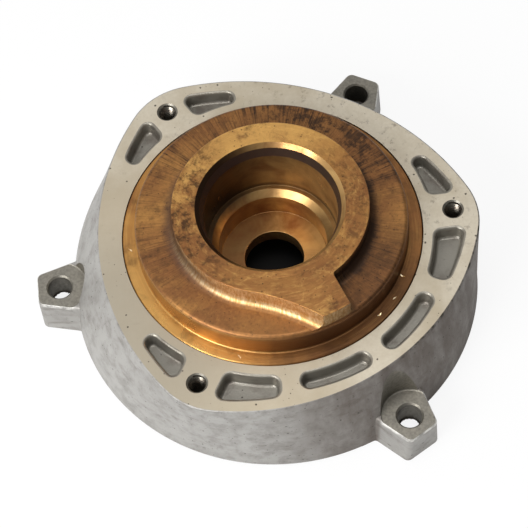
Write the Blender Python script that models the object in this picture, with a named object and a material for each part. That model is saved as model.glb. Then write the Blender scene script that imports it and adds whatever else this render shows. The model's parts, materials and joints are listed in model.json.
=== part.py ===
"""Pump housing cover: an aluminium casting with a bronze side-channel insert pressed into its face.

Metres, +Z up. The cover stands on its rear rim at Z = 0, with the machined face up. The origin is
the centre of the footprint's box, and the pump's axis runs along Z at X = AXIS_X. Everything is
modelled about the pump's axis, with the first tapped hole towards +X, and hangs from one empty there.
"""

import math

import bmesh
import bpy

MM = 0.001

# Stepped bore of the insert: widths from the shaft hole outwards, depths down from the hub's land
SHAFT_HOLE_R = 12.5 * MM
BORE_FLOOR_WIDTH = 10.1 * MM
NECK_CHAMFER = 2.9 * MM
NECK_DROP = 2.3 * MM
SHELF_WIDTH = 2.0 * MM
SHELF_DEPTH = 28.3 * MM
LEAD_WIDTH = 1.5 * MM
LEAD_DEPTH = 5.7 * MM
MOUTH_CHAMFER = 1.75 * MM
BORE_FLOOR_THICKNESS = 6.5 * MM

# Bronze insert: flush ledge, raised disc with the channel floor, and hub
LAND_WIDTH = 9.65 * MM
CHANNEL_WIDTH = 15.8 * MM
LEDGE_WIDTH = 6.0 * MM
LEDGE_CHAMFER = 0.4 * MM
SEAT_WIDTH = 16.2 * MM
SEAT_GAP = 0.3 * MM
DISC_RISE = 11.6 * MM
DISC_EDGE_ROUND = 2.0 * MM
HUB_RISE = 20.5 * MM
HUB_FILLET = 3.8 * MM
HUB_EDGE_CHAMFER = 0.25 * MM
REAR_HUB_WALL = 7.4 * MM

# Stripper tongue that runs out from the hub to the disc's edge
TONGUE_SETBACK = 0.6 * MM
FLANK_START = math.radians(-108.5)
FLANK_R = 88.0 * MM
NOTCH_HUB_ANGLE = math.radians(-58.5)
NOTCH_RIM_ANGLE = math.radians(-61.8)
NOTCH_ROUND = 2.0 * MM

# Casting body: a round rim that flares up into a three-cornered machined face
FACE_Z = 42.8 * MM
REGISTER_DEPTH = 9.0 * MM
NARROW_FACE_WIDTH = 10.3 * MM
NARROW_ARC_BEYOND = 40.0 * MM
WIDE_FACE_WIDTH = 16.3 * MM
WIDE_ARC_BEYOND = 20.0 * MM
CORNER_ROUND = 30.0 * MM
FACE_EDGE_ROUND = 0.6 * MM
SHOULDER_WIDTH = 23.3 * MM
SHOULDER_Z = 18.1 * MM
SHOULDER_BLEND = 7.0 * MM
RIM_FLARE = 0.8 * MM
RIM_CHAMFER = 0.9 * MM

# Hollow rear side
WEB_THICKNESS = 18.0 * MM
SKIRT_WALL = 7.0 * MM
CAVITY_DRAFT = math.radians(12.0)
REAR_BOSS_WALL = 6.7 * MM
REAR_BOSS_DROP = 10.0 * MM
RIB_THICKNESS = 5.0 * MM
RIB_DROP = 9.0 * MM
COLUMN_WALL = 4.8 * MM
COLUMN_FLOOR = 4.0 * MM

# Tapped holes in the corners of the face
CORNER_COUNT = 3
TAPPED_FROM_REGISTER = 13.1 * MM
TAPPED_R = 3.7 * MM
TAPPED_MOUTH_CHAMFER = 0.8 * MM
TAPPED_DEPTH = 20.0 * MM
DRILL_POINT = math.radians(31.0)

# Pockets beside the tapped holes, and arc slots in the wide side
POCKET_DEPTH = 6.0 * MM
POCKET_DRAFT = math.radians(7.0)
POCKET_MOUTH_ROUND = 0.7 * MM
POCKET_FOOT_ROUND = 1.3 * MM
POCKET_CORNER_ROUND = 3.2 * MM
POCKET_INNER_WALL = 4.4 * MM
POCKET_OUTER_WALL = 5.6 * MM
POCKET_TO_HOLE = 8.6 * MM
NARROW_POCKET_END = math.radians(23.0)
SLOT_FROM_REGISTER = 8.0 * MM
SLOT_WIDTH = 7.2 * MM
SLOT_SPAN = math.radians(24.2)
SLOT_BRIDGE = math.radians(6.2)
SLOT_TO_POCKET = math.radians(6.7)

# Lugs between the corners
LUG_HOLE_FROM_RIM = 5.2 * MM
LUG_NOSE_BEYOND = 9.5 * MM
LUG_TOP_Z = 18.4 * MM
LUG_ROOT_INSIDE = 4.6 * MM
LUG_ROOT_WIDTH = 25.2 * MM
LUG_BURIED = 4.0 * MM
LUG_NOSE_WIDTH = 14.2 * MM
LUG_NOSE_ROUND = 2.6 * MM
LUG_DRAFT = math.radians(3.0)
LUG_EDGE_ROUND = 1.1 * MM
LUG_HOLE_R = 5.1 * MM
LUG_HOLE_CHAMFER = 0.7 * MM
LUG_BACK_FLARE = 3.0 * MM
LUG_BACK_DEPTH = 5.0 * MM
SPOT_FACE_R = 11.9 * MM
SPOT_FACE_DEPTH = 0.3 * MM
SPOT_FACE_FOOT = 0.8 * MM

# Facets
BODY_SEGMENTS = 120
ROUND_SEGMENTS = 96
HOLE_SEGMENTS = 32
CORNER_STEPS = 4
ARC_STEPS = 4
OVERSHOOT = 1.0 * MM

# Radii that follow, from the shaft hole outwards
SEAL_R = SHAFT_HOLE_R + BORE_FLOOR_WIDTH
NECK_R = SEAL_R + NECK_CHAMFER
UPPER_BORE_R = NECK_R + SHELF_WIDTH
LEAD_R = UPPER_BORE_R + LEAD_WIDTH
MOUTH_R = LEAD_R + MOUTH_CHAMFER
REAR_HUB_R = SEAL_R + REAR_HUB_WALL
HUB_R = MOUTH_R + LAND_WIDTH
DISC_R = HUB_R + CHANNEL_WIDTH
TONGUE_R = DISC_R - TONGUE_SETBACK
LEDGE_R = DISC_R + LEDGE_WIDTH
REGISTER_R = LEDGE_R + SEAT_GAP
SPIGOT_R = LEDGE_R - SEAT_WIDTH
SPIGOT_BORE_R = SPIGOT_R + SEAT_GAP
NARROW_WAIST = REGISTER_R + NARROW_FACE_WIDTH
WIDE_WAIST = REGISTER_R + WIDE_FACE_WIDTH
TAPPED_PITCH_R = REGISTER_R + TAPPED_FROM_REGISTER
SLOT_R = REGISTER_R + SLOT_FROM_REGISTER
SHOULDER_R = REGISTER_R + SHOULDER_WIDTH
RIM_R = SHOULDER_R + RIM_FLARE
LUG_ROOT_R = RIM_R - LUG_ROOT_INSIDE
LUG_PITCH_R = RIM_R + LUG_HOLE_FROM_RIM
LUG_REACH = LUG_PITCH_R + LUG_NOSE_BEYOND

# Places that follow
AXIS_X = (LUG_REACH - RIM_R) / 2
WEB_UNDERSIDE_Z = FACE_Z - WEB_THICKNESS
REAR_Z = WEB_UNDERSIDE_Z - REAR_BOSS_DROP
BORE_FLOOR_Z = REAR_Z + BORE_FLOOR_THICKNESS
SEAT_Z = FACE_Z - REGISTER_DEPTH
FLOOR_Z = FACE_Z + DISC_RISE
LAND_Z = FACE_Z + HUB_RISE
CORNER_ANGLES = [math.tau * i / CORNER_COUNT for i in range(CORNER_COUNT)]
LUG_ANGLES = [a + math.pi / CORNER_COUNT for a in CORNER_ANGLES]
WIDE_SIDE = LUG_ANGLES[-1]
SLOT_OFFSET = (SLOT_SPAN + SLOT_BRIDGE) / 2
WIDE_POCKET_END = math.pi / CORNER_COUNT - SLOT_OFFSET - SLOT_SPAN / 2 - SLOT_TO_POCKET


def on_circle(radius, angle):
    """Point at a radius and an angle about the pump's axis."""
    return radius * math.cos(angle), radius * math.sin(angle)


def turned(points, angle):
    """Plan points turned about the pump's axis."""
    c, s = math.cos(angle), math.sin(angle)
    return [(x * c - y * s, x * s + y * c) for x, y in points]


def circle(radius, segments=ROUND_SEGMENTS, centre=(0.0, 0.0)):
    """Plan points of a circle."""
    return arc(centre, radius, 0.0, math.tau, segments)[:-1]


def arc(centre, radius, start, end, steps):
    """Plan points along an arc, with both its ends."""
    angles = [start + (end - start) * i / steps for i in range(steps + 1)]
    return [(centre[0] + radius * math.cos(a), centre[1] + radius * math.sin(a)) for a in angles]


def rounded(points, corners, radius, steps=CORNER_STEPS):
    """A closed plan outline with the numbered corners rounded, each as far as its edges allow."""
    result = []
    count = len(points)
    for i, (x, y) in enumerate(points):
        if i not in corners:
            result.append((x, y))
            continue
        before, after = points[i - 1], points[(i + 1) % count]
        ux, uy = before[0] - x, before[1] - y
        vx, vy = after[0] - x, after[1] - y
        u_length, v_length = math.hypot(ux, uy), math.hypot(vx, vy)
        ux, uy, vx, vy = ux / u_length, uy / u_length, vx / v_length, vy / v_length
        half = math.acos(max(-1.0, min(1.0, ux * vx + uy * vy))) / 2
        tangent = min(radius / math.tan(half), 0.45 * u_length, 0.45 * v_length)
        reach = tangent / math.cos(half)
        bx, by = ux + vx, uy + vy
        b_length = math.hypot(bx, by)
        cx, cy = x + bx / b_length * reach, y + by / b_length * reach
        fillet = tangent * math.tan(half)
        start = math.atan2(y + uy * tangent - cy, x + ux * tangent - cx)
        end = math.atan2(y + vy * tangent - cy, x + vx * tangent - cx)
        sweep = (end - start + math.pi) % math.tau - math.pi
        result += arc((cx, cy), fillet, start, start + sweep, steps)
    return result


def loft(name, rings):
    """A closed solid through plan outlines of equal length, given as (height, outline) from the bottom up."""
    mesh = bmesh.new()
    loops = [[mesh.verts.new((x, y, z)) for x, y in outline] for z, outline in rings]
    for lower, upper in zip(loops, loops[1:]):
        for i in range(len(lower)):
            j = (i + 1) % len(lower)
            mesh.faces.new((lower[i], lower[j], upper[j], upper[i]))
    mesh.faces.new(list(reversed(loops[0])))
    mesh.faces.new(loops[-1])
    bmesh.ops.recalc_face_normals(mesh, faces=mesh.faces)
    data = bpy.data.meshes.new(name)
    mesh.to_mesh(data)
    mesh.free()
    solid = bpy.data.objects.new(name, data)
    bpy.context.scene.collection.objects.link(solid)
    return solid


def turned_solid(name, profile, segments=ROUND_SEGMENTS, centre=(0.0, 0.0)):
    """A turned solid from (radius, height) pairs, from the bottom up."""
    return loft(name, [(z, circle(r, segments, centre)) for r, z in profile])


def combine(target, tool, operation):
    """Joins a tool solid to the target, or cuts it out, and deletes the tool."""
    modifier = target.modifiers.new("combine", "BOOLEAN")
    modifier.operation = operation
    modifier.solver = "EXACT"
    modifier.object = tool
    evaluated = target.evaluated_get(bpy.context.evaluated_depsgraph_get())
    data = bpy.data.meshes.new_from_object(evaluated)
    target.modifiers.remove(modifier)
    old = target.data
    target.data = data
    bpy.data.meshes.remove(old)
    bpy.data.objects.remove(tool)


def ray_to_circle(angle, centre, radius):
    """Distance from the pump's axis, along an angle, to the far side of a circle."""
    along = centre[0] * math.cos(angle) + centre[1] * math.sin(angle)
    square = along**2 - (centre[0] ** 2 + centre[1] ** 2 - radius**2)
    return along + math.sqrt(max(square, 0.0))


def side_arc(middle):
    """Centre and radius of the face's side arc that is centred on an angle."""
    wide = abs(middle - WIDE_SIDE) < 1e-6
    waist, beyond = (WIDE_WAIST, WIDE_ARC_BEYOND) if wide else (NARROW_WAIST, NARROW_ARC_BEYOND)
    return on_circle(-beyond, middle), waist + beyond


def corner_arc(corner):
    """Centre of the rounding circle of a face corner, and the angles where it meets the side arcs."""
    half = math.pi / CORNER_COUNT
    after = side_arc(LUG_ANGLES[corner])
    before = side_arc(LUG_ANGLES[corner - 1])
    (ax, ay), (bx, by) = after[0], before[0]
    ra, rb = after[1] - CORNER_ROUND, before[1] - CORNER_ROUND
    dx, dy = bx - ax, by - ay
    distance = math.hypot(dx, dy)
    along = (ra**2 - rb**2 + distance**2) / (2 * distance)
    across = math.sqrt(max(ra**2 - along**2, 0.0))
    middle = (ax + along * dx / distance, ay + along * dy / distance)
    options = [
        (middle[0] + s * across * dy / distance, middle[1] - s * across * dx / distance) for s in (-1, 1)
    ]
    angle = CORNER_ANGLES[corner]
    centre = max(options, key=lambda p: p[0] * math.cos(angle) + p[1] * math.sin(angle))
    ends = []
    for (sx, sy), radius in (before, after):
        ux, uy = centre[0] - sx, centre[1] - sy
        length = math.hypot(ux, uy)
        touch = (sx + ux / length * radius, sy + uy / length * radius)
        turn = math.atan2(touch[1], touch[0]) - angle
        ends.append(max(-half, min(half, (turn + math.pi) % math.tau - math.pi)))
    return centre, ends


CORNER_ARCS = [corner_arc(i) for i in range(CORNER_COUNT)]


def face_radius(angle):
    """Radius of the machined face's outline at an angle."""
    pitch = math.tau / CORNER_COUNT
    corner = round(angle / pitch) % CORNER_COUNT
    turn = (angle - CORNER_ANGLES[corner] + math.pi) % math.tau - math.pi
    centre, (low, high) = CORNER_ARCS[corner]
    if low <= turn <= high:
        return ray_to_circle(angle, centre, CORNER_ROUND)
    middle = LUG_ANGLES[corner] if turn > 0 else LUG_ANGLES[corner - 1]
    return ray_to_circle(angle, *side_arc(middle))


def body_outline(blend, inset=0.0):
    """Plan outline of the body, from the round shoulder at blend 0 to the face at blend 1."""
    points = []
    for i in range(BODY_SEGMENTS):
        angle = math.tau * i / BODY_SEGMENTS
        radius = SHOULDER_R + (face_radius(angle) - SHOULDER_R) * blend - inset
        points.append(on_circle(radius, angle))
    return points


def body():
    """The flared body, solid so far."""
    rings = [
        (0.0, circle(RIM_R - RIM_CHAMFER, BODY_SEGMENTS)),
        (RIM_CHAMFER, circle(RIM_R, BODY_SEGMENTS)),
        (SHOULDER_Z - SHOULDER_BLEND, circle(SHOULDER_R, BODY_SEGMENTS)),
    ]
    flare_height = FACE_Z - SHOULDER_Z
    for i in range(1, ARC_STEPS + 1):
        t = i / ARC_STEPS
        height = SHOULDER_Z + SHOULDER_BLEND * (t**2 - (1 - t) ** 2)
        rings.append((height, body_outline(SHOULDER_BLEND / flare_height * t**2)))
    top = FACE_Z - FACE_EDGE_ROUND
    for i in range(ARC_STEPS // 2 + 1):
        angle = math.pi / 2 * i / (ARC_STEPS // 2)
        rings.append((
            top + FACE_EDGE_ROUND * math.sin(angle),
            body_outline(1.0, FACE_EDGE_ROUND * (1 - math.cos(angle))),
        ))
    return loft("housing_casting", rings)


def lug_outline(grow, inset):
    """Plan outline of a lug along +X, with its sides grown by the draft and all edges inset."""
    root = LUG_ROOT_WIDTH / 2 + grow - inset
    nose = LUG_NOSE_WIDTH / 2 + grow - inset
    slope = (root - nose) / (LUG_REACH - LUG_ROOT_R)
    start = RIM_R - SKIRT_WALL - LUG_BURIED
    wide = root + slope * (LUG_ROOT_R - start)
    points = [(start, -wide), (LUG_REACH - inset, -nose), (LUG_REACH - inset, nose), (start, wide)]
    return rounded(points, (1, 2), LUG_NOSE_ROUND)


def lug(angle):
    """One lug, from the rim plane up, with its roots inside the body."""
    side = LUG_TOP_Z - LUG_EDGE_ROUND
    rings = [
        (0.0, lug_outline(LUG_TOP_Z * math.tan(LUG_DRAFT), 0.0)),
        (side, lug_outline(LUG_EDGE_ROUND * math.tan(LUG_DRAFT), 0.0)),
    ]
    for i in range(1, ARC_STEPS // 2 + 1):
        turn = math.pi / 2 * i / (ARC_STEPS // 2)
        inset = LUG_EDGE_ROUND * (1 - math.cos(turn))
        rings.append((side + LUG_EDGE_ROUND * math.sin(turn), lug_outline(0.0, inset)))
    return loft("lug", [(z, turned(points, angle)) for z, points in rings])


def lug_hole(angle):
    """Cutter for a lug's through hole, with the spot face that clears the screw head from the wall."""
    floor = LUG_TOP_Z - SPOT_FACE_DEPTH
    profile = [
        (LUG_HOLE_R + LUG_BACK_FLARE * (1 + OVERSHOOT / LUG_BACK_DEPTH), -OVERSHOOT),
        (LUG_HOLE_R, LUG_BACK_DEPTH),
        (LUG_HOLE_R, floor - LUG_HOLE_CHAMFER),
        (LUG_HOLE_R + LUG_HOLE_CHAMFER, floor),
        (SPOT_FACE_R - SPOT_FACE_FOOT, floor),
        (SPOT_FACE_R - 0.3 * SPOT_FACE_FOOT, floor + 0.3 * SPOT_FACE_FOOT),
        (SPOT_FACE_R, floor + SPOT_FACE_FOOT),
        (SPOT_FACE_R, FACE_Z + OVERSHOOT),
    ]
    return turned_solid("lug_hole", profile, HOLE_SEGMENTS, on_circle(LUG_PITCH_R, angle))


def tapped_hole(angle):
    """Cutter for a blind tapped hole with its countersunk mouth and drill point."""
    bottom = FACE_Z - TAPPED_DEPTH
    tip = 0.1 * TAPPED_R
    profile = [
        (tip, bottom - (TAPPED_R - tip) * math.tan(DRILL_POINT)),
        (TAPPED_R, bottom),
        (TAPPED_R, FACE_Z - TAPPED_MOUTH_CHAMFER),
        (TAPPED_R + TAPPED_MOUTH_CHAMFER + OVERSHOOT, FACE_Z + OVERSHOOT),
    ]
    return turned_solid("tapped_hole", profile, HOLE_SEGMENTS, on_circle(TAPPED_PITCH_R, angle))


def pocket_outline(corner, side, end, inset):
    """Plan outline of the pocket on one side of a corner's tapped hole, inset from its upper walls."""
    near = POCKET_TO_HOLE + inset
    inner = REGISTER_R + POCKET_INNER_WALL + inset

    def outer(turn):
        return face_radius(corner + side * turn) - POCKET_OUTER_WALL - inset

    inner_near = math.asin(min(1.0, near / inner))
    outer_near = inner_near
    for _ in range(8):
        outer_near = math.asin(min(1.0, near / outer(outer_near)))
    inner_end = end - inset / inner
    outer_end = end - inset / outer(end)
    points = []
    for i in range(ARC_STEPS):
        turn = inner_near + (inner_end - inner_near) * i / (ARC_STEPS - 1)
        points.append(on_circle(inner, turn))
    for i in range(ARC_STEPS):
        turn = outer_end + (outer_near - outer_end) * i / (ARC_STEPS - 1)
        points.append(on_circle(outer(turn), turn))
    corners = (0, ARC_STEPS - 1, ARC_STEPS, 2 * ARC_STEPS - 1)
    points = rounded(points, corners, max(POCKET_CORNER_ROUND - inset, 0.3 * MM))
    if side < 0:
        points = [(x, -y) for x, y in reversed(points)]
    return turned(points, corner)


def slot_outline(middle, inset):
    """Plan outline of an arc slot centred on an angle, inset from its upper walls."""
    half_width = SLOT_WIDTH / 2 - inset
    half_span = SLOT_SPAN / 2 - SLOT_WIDTH / 2 / SLOT_R
    low, high = middle - half_span, middle + half_span
    steps = 2 * ARC_STEPS
    outer = arc((0, 0), SLOT_R + half_width, low, high, steps)
    far = arc(on_circle(SLOT_R, high), half_width, high, high + math.pi, steps)[1:-1]
    inner = arc((0, 0), SLOT_R - half_width, high, low, steps)
    near = arc(on_circle(SLOT_R, low), half_width, low + math.pi, low + math.tau, steps)[1:-1]
    return outer + far + inner + near


def recess(name, outline):
    """Cutter for a cast recess: flat floor, rounded foot, drafted wall and rounded mouth.

    outline gives the recess's plan outline for an inset from its upper walls.
    """
    floor = FACE_Z - POCKET_DEPTH
    foot_top = floor + POCKET_FOOT_ROUND
    wall_top = FACE_Z - POCKET_MOUTH_ROUND
    drafted = (wall_top - foot_top) * math.tan(POCKET_DRAFT)
    rings = []
    for i in range(ARC_STEPS):
        turn = math.pi / 2 * i / (ARC_STEPS - 1)
        inset = drafted + POCKET_FOOT_ROUND * (1 - math.sin(turn))
        rings.append((foot_top - POCKET_FOOT_ROUND * math.cos(turn), outline(inset)))
    for i in range(ARC_STEPS - 1):
        turn = math.pi / 2 * i / (ARC_STEPS - 2)
        inset = -POCKET_MOUTH_ROUND * (1 - math.cos(turn))
        rings.append((wall_top + POCKET_MOUTH_ROUND * math.sin(turn), outline(inset)))
    rings.append((FACE_Z + OVERSHOOT, outline(-POCKET_MOUTH_ROUND)))
    return loft(name, rings)


def recesses():
    """Cutters for the pockets beside each tapped hole and for the two arc slots."""
    cutters = []
    for corner in CORNER_ANGLES:
        for side in (-1, 1):
            beside = (corner + side * math.pi / CORNER_COUNT) % math.tau
            end = WIDE_POCKET_END if abs(beside - WIDE_SIDE) < 1e-6 else NARROW_POCKET_END
            cutters.append(
                recess("pocket", lambda inset, c=corner, s=side, e=end: pocket_outline(c, s, e, inset))
            )
    for side in (-1, 1):
        middle = WIDE_SIDE + side * SLOT_OFFSET
        cutters.append(recess("slot", lambda inset, m=middle: slot_outline(m, inset)))
    return cutters


def register():
    """Cutter for the register bore and the spigot bore below it."""
    profile = [
        (SPIGOT_BORE_R, -OVERSHOOT),
        (SPIGOT_BORE_R, SEAT_Z),
        (REGISTER_R, SEAT_Z),
        (REGISTER_R, FACE_Z + OVERSHOOT),
    ]
    return turned_solid("register", profile)


def rear_cavity():
    """Cutter for the hollow rear side, which leaves a centre boss, ribs and columns for the tapped holes."""
    rim = RIM_R - SKIRT_WALL
    top = rim - WEB_UNDERSIDE_Z * math.tan(CAVITY_DRAFT)
    cavity = turned_solid(
        "rear_cavity",
        [(rim + OVERSHOOT * math.tan(CAVITY_DRAFT), -OVERSHOOT), (top, WEB_UNDERSIDE_Z)],
        BODY_SEGMENTS,
    )
    above = WEB_UNDERSIDE_Z + OVERSHOOT
    boss_r = SPIGOT_BORE_R + REAR_BOSS_WALL
    combine(cavity, turned_solid("rear_boss", [(boss_r, REAR_Z), (boss_r, above)]), "DIFFERENCE")
    column_r = TAPPED_R + COLUMN_WALL
    column_z = FACE_Z - TAPPED_DEPTH - COLUMN_FLOOR
    half = RIB_THICKNESS / 2
    rib_z = WEB_UNDERSIDE_Z - RIB_DROP
    for corner in CORNER_ANGLES:
        rib = [(-RIM_R, -half), (RIM_R, -half), (RIM_R, half), (-RIM_R, half)]
        rib = turned(rib, corner)
        combine(cavity, loft("rib", [(rib_z, rib), (above, rib)]), "DIFFERENCE")
        if column_z < WEB_UNDERSIDE_Z:
            column = [(column_r, column_z), (column_r, above)]
            centre = on_circle(TAPPED_PITCH_R, corner)
            combine(cavity, turned_solid("column", column, HOLE_SEGMENTS, centre), "DIFFERENCE")
    return cavity


def housing_casting():
    """The aluminium casting with all its machining."""
    casting = body()
    for angle in LUG_ANGLES:
        combine(casting, lug(angle), "UNION")
    combine(casting, rear_cavity(), "DIFFERENCE")
    combine(casting, register(), "DIFFERENCE")
    for cutter in recesses():
        combine(casting, cutter, "DIFFERENCE")
    for angle in CORNER_ANGLES:
        combine(casting, tapped_hole(angle), "DIFFERENCE")
    for angle in LUG_ANGLES:
        combine(casting, lug_hole(angle), "DIFFERENCE")
    return casting


def insert_disc():
    """The turned body of the insert up to the channel floor, without its bore."""
    profile = [
        (REAR_HUB_R, REAR_Z),
        (REAR_HUB_R, WEB_UNDERSIDE_Z),
        (SPIGOT_R, WEB_UNDERSIDE_Z),
        (SPIGOT_R, SEAT_Z + SEAT_GAP),
        (LEDGE_R, SEAT_Z + SEAT_GAP),
        (LEDGE_R, FACE_Z - LEDGE_CHAMFER),
        (LEDGE_R - LEDGE_CHAMFER, FACE_Z),
        (DISC_R, FACE_Z),
    ]
    for i in range(ARC_STEPS + 1):
        angle = math.pi / 2 * i / ARC_STEPS
        profile.append((
            DISC_R - DISC_EDGE_ROUND * (1 - math.cos(angle)),
            FLOOR_Z - DISC_EDGE_ROUND * (1 - math.sin(angle)),
        ))
    return turned_solid("channel_insert", profile)


def hub_outline(grow):
    """Plan outline of the hub and its tongue, grown outwards but held inside the disc's edge."""
    hub = HUB_R + grow
    flank = FLANK_R - grow
    centre = on_circle(HUB_R + FLANK_R, FLANK_START)
    distance = math.hypot(*centre)
    flank_turn = math.acos((TONGUE_R**2 + distance**2 - flank**2) / (2 * TONGUE_R * distance))
    tip_angle = FLANK_START + flank_turn
    tip = on_circle(TONGUE_R, tip_angle)
    rim_x, rim_y = on_circle(TONGUE_R, NOTCH_RIM_ANGLE)
    hub_x, hub_y = on_circle(HUB_R, NOTCH_HUB_ANGLE)
    length = math.hypot(rim_x - hub_x, rim_y - hub_y)
    ux, uy = (rim_x - hub_x) / length, (rim_y - hub_y) / length
    edge = (hub_x - uy * grow, hub_y + ux * grow)

    def along_edge(radius):
        """Where the notch's side, grown, crosses a circle about the pump's axis."""
        dot = edge[0] * ux + edge[1] * uy
        reach = -dot + math.sqrt(max(dot**2 - edge[0] ** 2 - edge[1] ** 2 + radius**2, 0.0))
        return edge[0] + ux * reach, edge[1] + uy * reach

    notch = along_edge(hub)
    rim = along_edge(TONGUE_R)
    notch_angle = math.atan2(notch[1], notch[0])
    points = [rim, notch]
    sweep = (FLANK_START - notch_angle) % math.tau
    hub_steps = ROUND_SEGMENTS * 3 // 4
    points += arc((0, 0), hub, notch_angle, notch_angle + sweep, hub_steps)[1:]
    start = FLANK_START + math.pi
    end = math.atan2(tip[1] - centre[1], tip[0] - centre[0])
    end = start + (end - start + math.pi) % math.tau - math.pi
    points += arc(centre, flank, start, end, 3 * ARC_STEPS)[1:]
    rim_angle = math.atan2(rim[1], rim[0])
    points += arc((0, 0), TONGUE_R, tip_angle, rim_angle, ARC_STEPS)[1:-1]
    return rounded(points, (1,), max(NOTCH_ROUND - grow, 0.15 * MM))


def hub():
    """The hub and tongue, which rise from inside the disc through a fillet to the land."""
    rings = [(FLOOR_Z - DISC_EDGE_ROUND, hub_outline(HUB_FILLET))]
    for i in range(ARC_STEPS + 1):
        angle = math.pi / 2 * i / ARC_STEPS
        height = FLOOR_Z - 0.02 * MM + HUB_FILLET * (1 - math.cos(angle))
        rings.append((height, hub_outline(HUB_FILLET * (1 - math.sin(angle)))))
    rings.append((LAND_Z - HUB_EDGE_CHAMFER, hub_outline(0.0)))
    rings.append((LAND_Z, hub_outline(-HUB_EDGE_CHAMFER)))
    return loft("hub", rings)


def stepped_bore():
    """Cutter for the shaft hole, the seal bore, the upper bore above its shelf, and the mouth."""
    profile = [
        (SHAFT_HOLE_R, -OVERSHOOT),
        (SHAFT_HOLE_R, BORE_FLOOR_Z),
        (SEAL_R, BORE_FLOOR_Z),
        (SEAL_R, LAND_Z - SHELF_DEPTH - NECK_DROP),
        (NECK_R, LAND_Z - SHELF_DEPTH),
        (UPPER_BORE_R, LAND_Z - SHELF_DEPTH),
        (UPPER_BORE_R, LAND_Z - LEAD_DEPTH),
        (LEAD_R, LAND_Z - MOUTH_CHAMFER),
        (MOUTH_R, LAND_Z),
        (MOUTH_R, LAND_Z + OVERSHOOT),
    ]
    return turned_solid("stepped_bore", profile)


def channel_insert():
    """The bronze insert as one solid."""
    insert = insert_disc()
    combine(insert, hub(), "UNION")
    combine(insert, stepped_bore(), "DIFFERENCE")
    return insert


def metal(name, colour, roughness):
    """A plain metal material."""
    material = bpy.data.materials.new(name)
    material.use_nodes = True
    shader = material.node_tree.nodes["Principled BSDF"]
    shader.inputs["Base Color"].default_value = (*colour, 1.0)
    shader.inputs["Metallic"].default_value = 1.0
    shader.inputs["Roughness"].default_value = roughness
    return material


def finish(solid, material, axis):
    """Shades a solid, gives it its metal and hangs it from the pump's axis."""
    solid.data.materials.clear()
    solid.data.materials.append(material)
    solid.data.shade_smooth()
    solid.data.set_sharp_from_angle(angle=math.radians(30.0))
    solid.parent = axis


def main():
    for old in list(bpy.data.objects):
        bpy.data.objects.remove(old)
    axis = bpy.data.objects.new("pump_axis", None)
    axis.location = (AXIS_X, 0.0, 0.0)
    bpy.context.scene.collection.objects.link(axis)
    finish(housing_casting(), metal("cast_aluminium", (0.56, 0.54, 0.5), 0.45), axis)
    finish(channel_insert(), metal("bronze", (0.55, 0.34, 0.14), 0.35), axis)


main()
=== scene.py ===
"""Looks of the pump housing cover: an aluminium casting with a bronze side-channel insert."""

import json
import math
import random
from functools import partial

import bmesh
import bpy
from bpy.props import FloatProperty, FloatVectorProperty, IntProperty, PointerProperty
from mathutils import Matrix, Vector


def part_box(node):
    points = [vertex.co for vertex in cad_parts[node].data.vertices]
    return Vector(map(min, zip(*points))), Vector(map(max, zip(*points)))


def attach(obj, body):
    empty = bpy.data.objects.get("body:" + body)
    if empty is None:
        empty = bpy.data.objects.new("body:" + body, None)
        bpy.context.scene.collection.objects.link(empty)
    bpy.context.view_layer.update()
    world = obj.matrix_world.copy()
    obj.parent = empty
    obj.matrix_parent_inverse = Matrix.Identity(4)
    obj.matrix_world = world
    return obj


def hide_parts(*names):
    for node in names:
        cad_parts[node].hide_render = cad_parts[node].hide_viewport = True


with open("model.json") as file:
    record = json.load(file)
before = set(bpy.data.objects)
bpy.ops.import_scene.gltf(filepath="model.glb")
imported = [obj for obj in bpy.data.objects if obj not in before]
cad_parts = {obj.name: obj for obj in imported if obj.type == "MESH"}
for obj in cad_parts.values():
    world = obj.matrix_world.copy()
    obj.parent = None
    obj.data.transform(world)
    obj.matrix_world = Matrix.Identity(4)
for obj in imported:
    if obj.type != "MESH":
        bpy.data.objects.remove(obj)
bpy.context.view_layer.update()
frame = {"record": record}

bl_info = {
    "name": "Pump Housing Cover",
    "version": (1, 0, 0),
    "blender": (4, 5, 0),
    "location": "3D View > Sidebar > Pump Cover",
    "description": "Builds the casting, its bronze insert, the threads, the small debris and the studio",
    "category": "Object",
}

MM = 0.001
CASTING_LOW, CASTING_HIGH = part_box("housing_casting")
INSERT_LOW, INSERT_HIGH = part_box("channel_insert")
MOUNTS = {mount["name"]: mount["pos_m"] for mount in frame["record"]["mounts"]}
AXIS_X = MOUNTS["hub_land"][0]
RIM_RADIUS = CASTING_HIGH.x - AXIS_X
LUG_REACH = AXIS_X - CASTING_LOW.x
LEDGE_RADIUS = INSERT_HIGH.x - AXIS_X
FACE_Z = CASTING_HIGH.z
LAND_Z = INSERT_HIGH.z

CORNER_COUNT = 3
CORNER_ANGLES = [math.tau * i / CORNER_COUNT for i in range(CORNER_COUNT)]
LUG_ANGLES = [a + math.pi / CORNER_COUNT for a in CORNER_ANGLES]
WIDE_SIDE = LUG_ANGLES[-1]


def length(name, description, millimetres, soft_max=0.2):
    """A length property in metres that takes its default in millimetres."""
    return FloatProperty(
        name=name, description=description, default=millimetres * MM, min=0.0, soft_max=soft_max,
        subtype="DISTANCE", unit="LENGTH", precision=5,
    )


def angle(name, description, degrees):
    """An angle property that takes its default in degrees."""
    return FloatProperty(
        name=name, description=description, default=math.radians(degrees), subtype="ANGLE", unit="ROTATION",
    )


def colour(name, description, red, green, blue):
    """A colour property that takes its default in display values from 0 to 255."""
    linear = [((v / 255 + 0.055) / 1.055) ** 2.4 for v in (red, green, blue)]
    return FloatVectorProperty(
        name=name, description=description, default=linear, size=3, min=0.0, max=1.0, subtype="COLOR",
    )


def amount(name, description, default):
    """A plain number, such as a strength or a share."""
    return FloatProperty(name=name, description=description, default=default)


def power(name, description, default):
    """The power of a lamp."""
    return FloatProperty(name=name, description=description, default=default, unit="POWER")


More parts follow.
